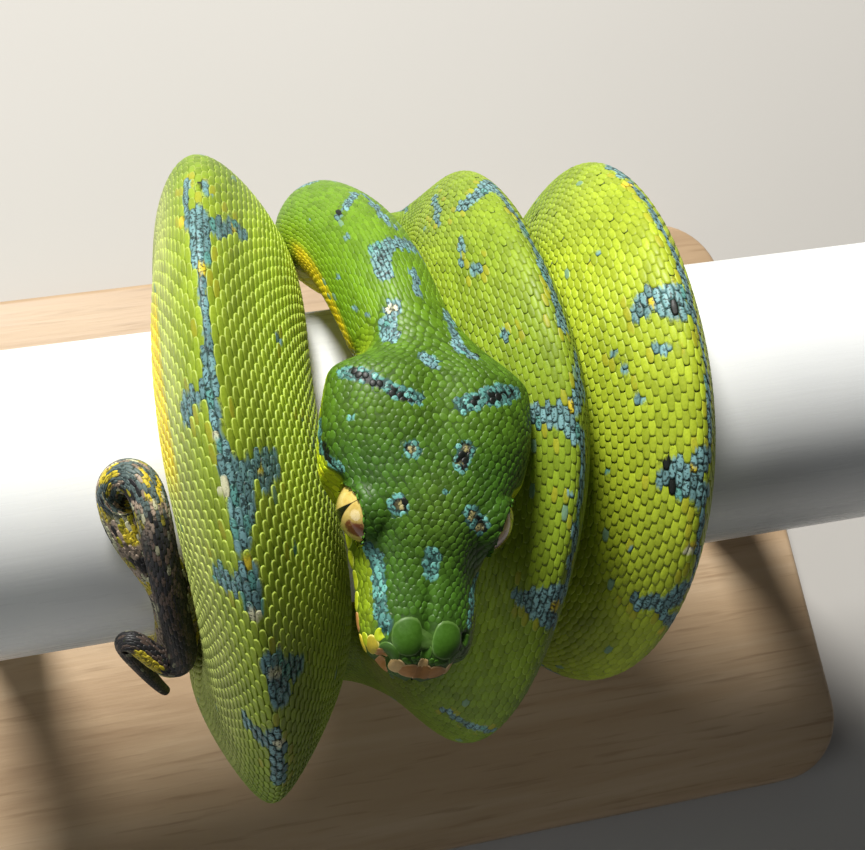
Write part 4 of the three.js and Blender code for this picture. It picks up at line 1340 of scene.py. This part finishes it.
for side in (-1, 1):
    centre, gaze = eye_axis(side)
    rise, level, reach = from_axis(grain_points - centre, gaze)
    clear &= (reach > EYE_OPEN + EYE_BARE) | (rise < -1)
    nostril = head_point(NOSTRIL[0], NOSTRIL[1] * side, NOSTRIL[2])
    clear &= np.linalg.norm(grain_points - nostril, axis=1) > NOSTRIL_BARE
for middle, length, width, turn in snout:
    clear &= np.linalg.norm(grain_points - middle, axis=1) > 0.5 * (length + width) + 0.12
scattered_scales("head_scales", grain, grains[:, clear], head_material, 11,
                 HEAD_SPAN, jitter=0.2, pitted=0, leaning=0.0)

# ------------------------------------------------------------
# Studio: a plain pale floor, a soft key lamp high on the far side, a weak one at the near left,
# a faint sky, and the camera above the near left of the stand.
# ------------------------------------------------------------
FLOOR_SIZE = 3.0
CAMERA_PLACE = (-0.046119, -0.049604, 0.185124 + PERCH_HEIGHT)
CAMERA_RIGHT = Vector((0.962, -0.199, 0.185))
CAMERA_LOOK = Vector((0.234, 0.261, -0.936))
LENS, SENSOR = 70.75, 36.0


def floor_paint():
    material, shader, feed, node = new_material("pale_floor", 0.8)
    cloud = noise(node, node("TexCoord", "Object", {}), 4.0, 3.0)
    feed(shader, {"Base Color": ramp(node, cloud, (0.3, (0.47, 0.455, 0.43)),
                                     (0.7, (0.50, 0.485, 0.46)))})
    return material


bm = bmesh.new()
bmesh.ops.create_grid(bm, x_segments=2, y_segments=2, size=FLOOR_SIZE / 2)
floor_mesh = bpy.data.meshes.new("floor")
bm.to_mesh(floor_mesh)
bm.free()
floor_mesh.materials.append(floor_paint())
floor = bpy.data.objects.new("floor", floor_mesh)
bpy.context.scene.collection.objects.link(floor)


def area_lamp(name, place, size, power, colour):
    """A round lamp that looks at the middle of the pipe."""
    light = bpy.data.lights.new(name, "AREA")
    light.shape = "DISK"
    light.size = size
    light.energy = power
    light.color = colour
    lamp = bpy.data.objects.new(name, light)
    lamp.location = place
    aim = Vector((0, 0, PERCH_HEIGHT)) - Vector(place)
    lamp.rotation_euler = aim.to_track_quat("-Z", "Y").to_euler()
    bpy.context.scene.collection.objects.link(lamp)


area_lamp("key_lamp", (-0.14, 0.47, 0.55), 0.21, 8.8, (1.0, 0.98, 0.94))
area_lamp("fill_lamp", (-0.6, -0.18, 0.30), 0.4, 0.85, (0.95, 0.98, 1.0))

world = bpy.data.worlds.new("studio")
world.use_nodes = True
sky = world.node_tree.nodes["Background"].inputs
sky["Color"].default_value = (0.93, 0.96, 1.0, 1)
sky["Strength"].default_value = 0.062
bpy.context.scene.world = world

camera_data = bpy.data.cameras.new("camera")
camera_data.lens = LENS
camera_data.sensor_width = SENSOR
camera_data.clip_start = 0.005
camera = bpy.data.objects.new("camera", camera_data)
look = CAMERA_LOOK.normalized()
right = (CAMERA_RIGHT - look * CAMERA_RIGHT.dot(look)).normalized()
up = right.cross(look)
camera.matrix_world = Matrix.Translation(CAMERA_PLACE) @ Matrix((right, up, -look)).transposed(
    ).to_4x4()
bpy.context.scene.collection.objects.link(camera)
bpy.context.scene.camera = camera
bpy.context.scene.view_settings.view_transform = "Standard"
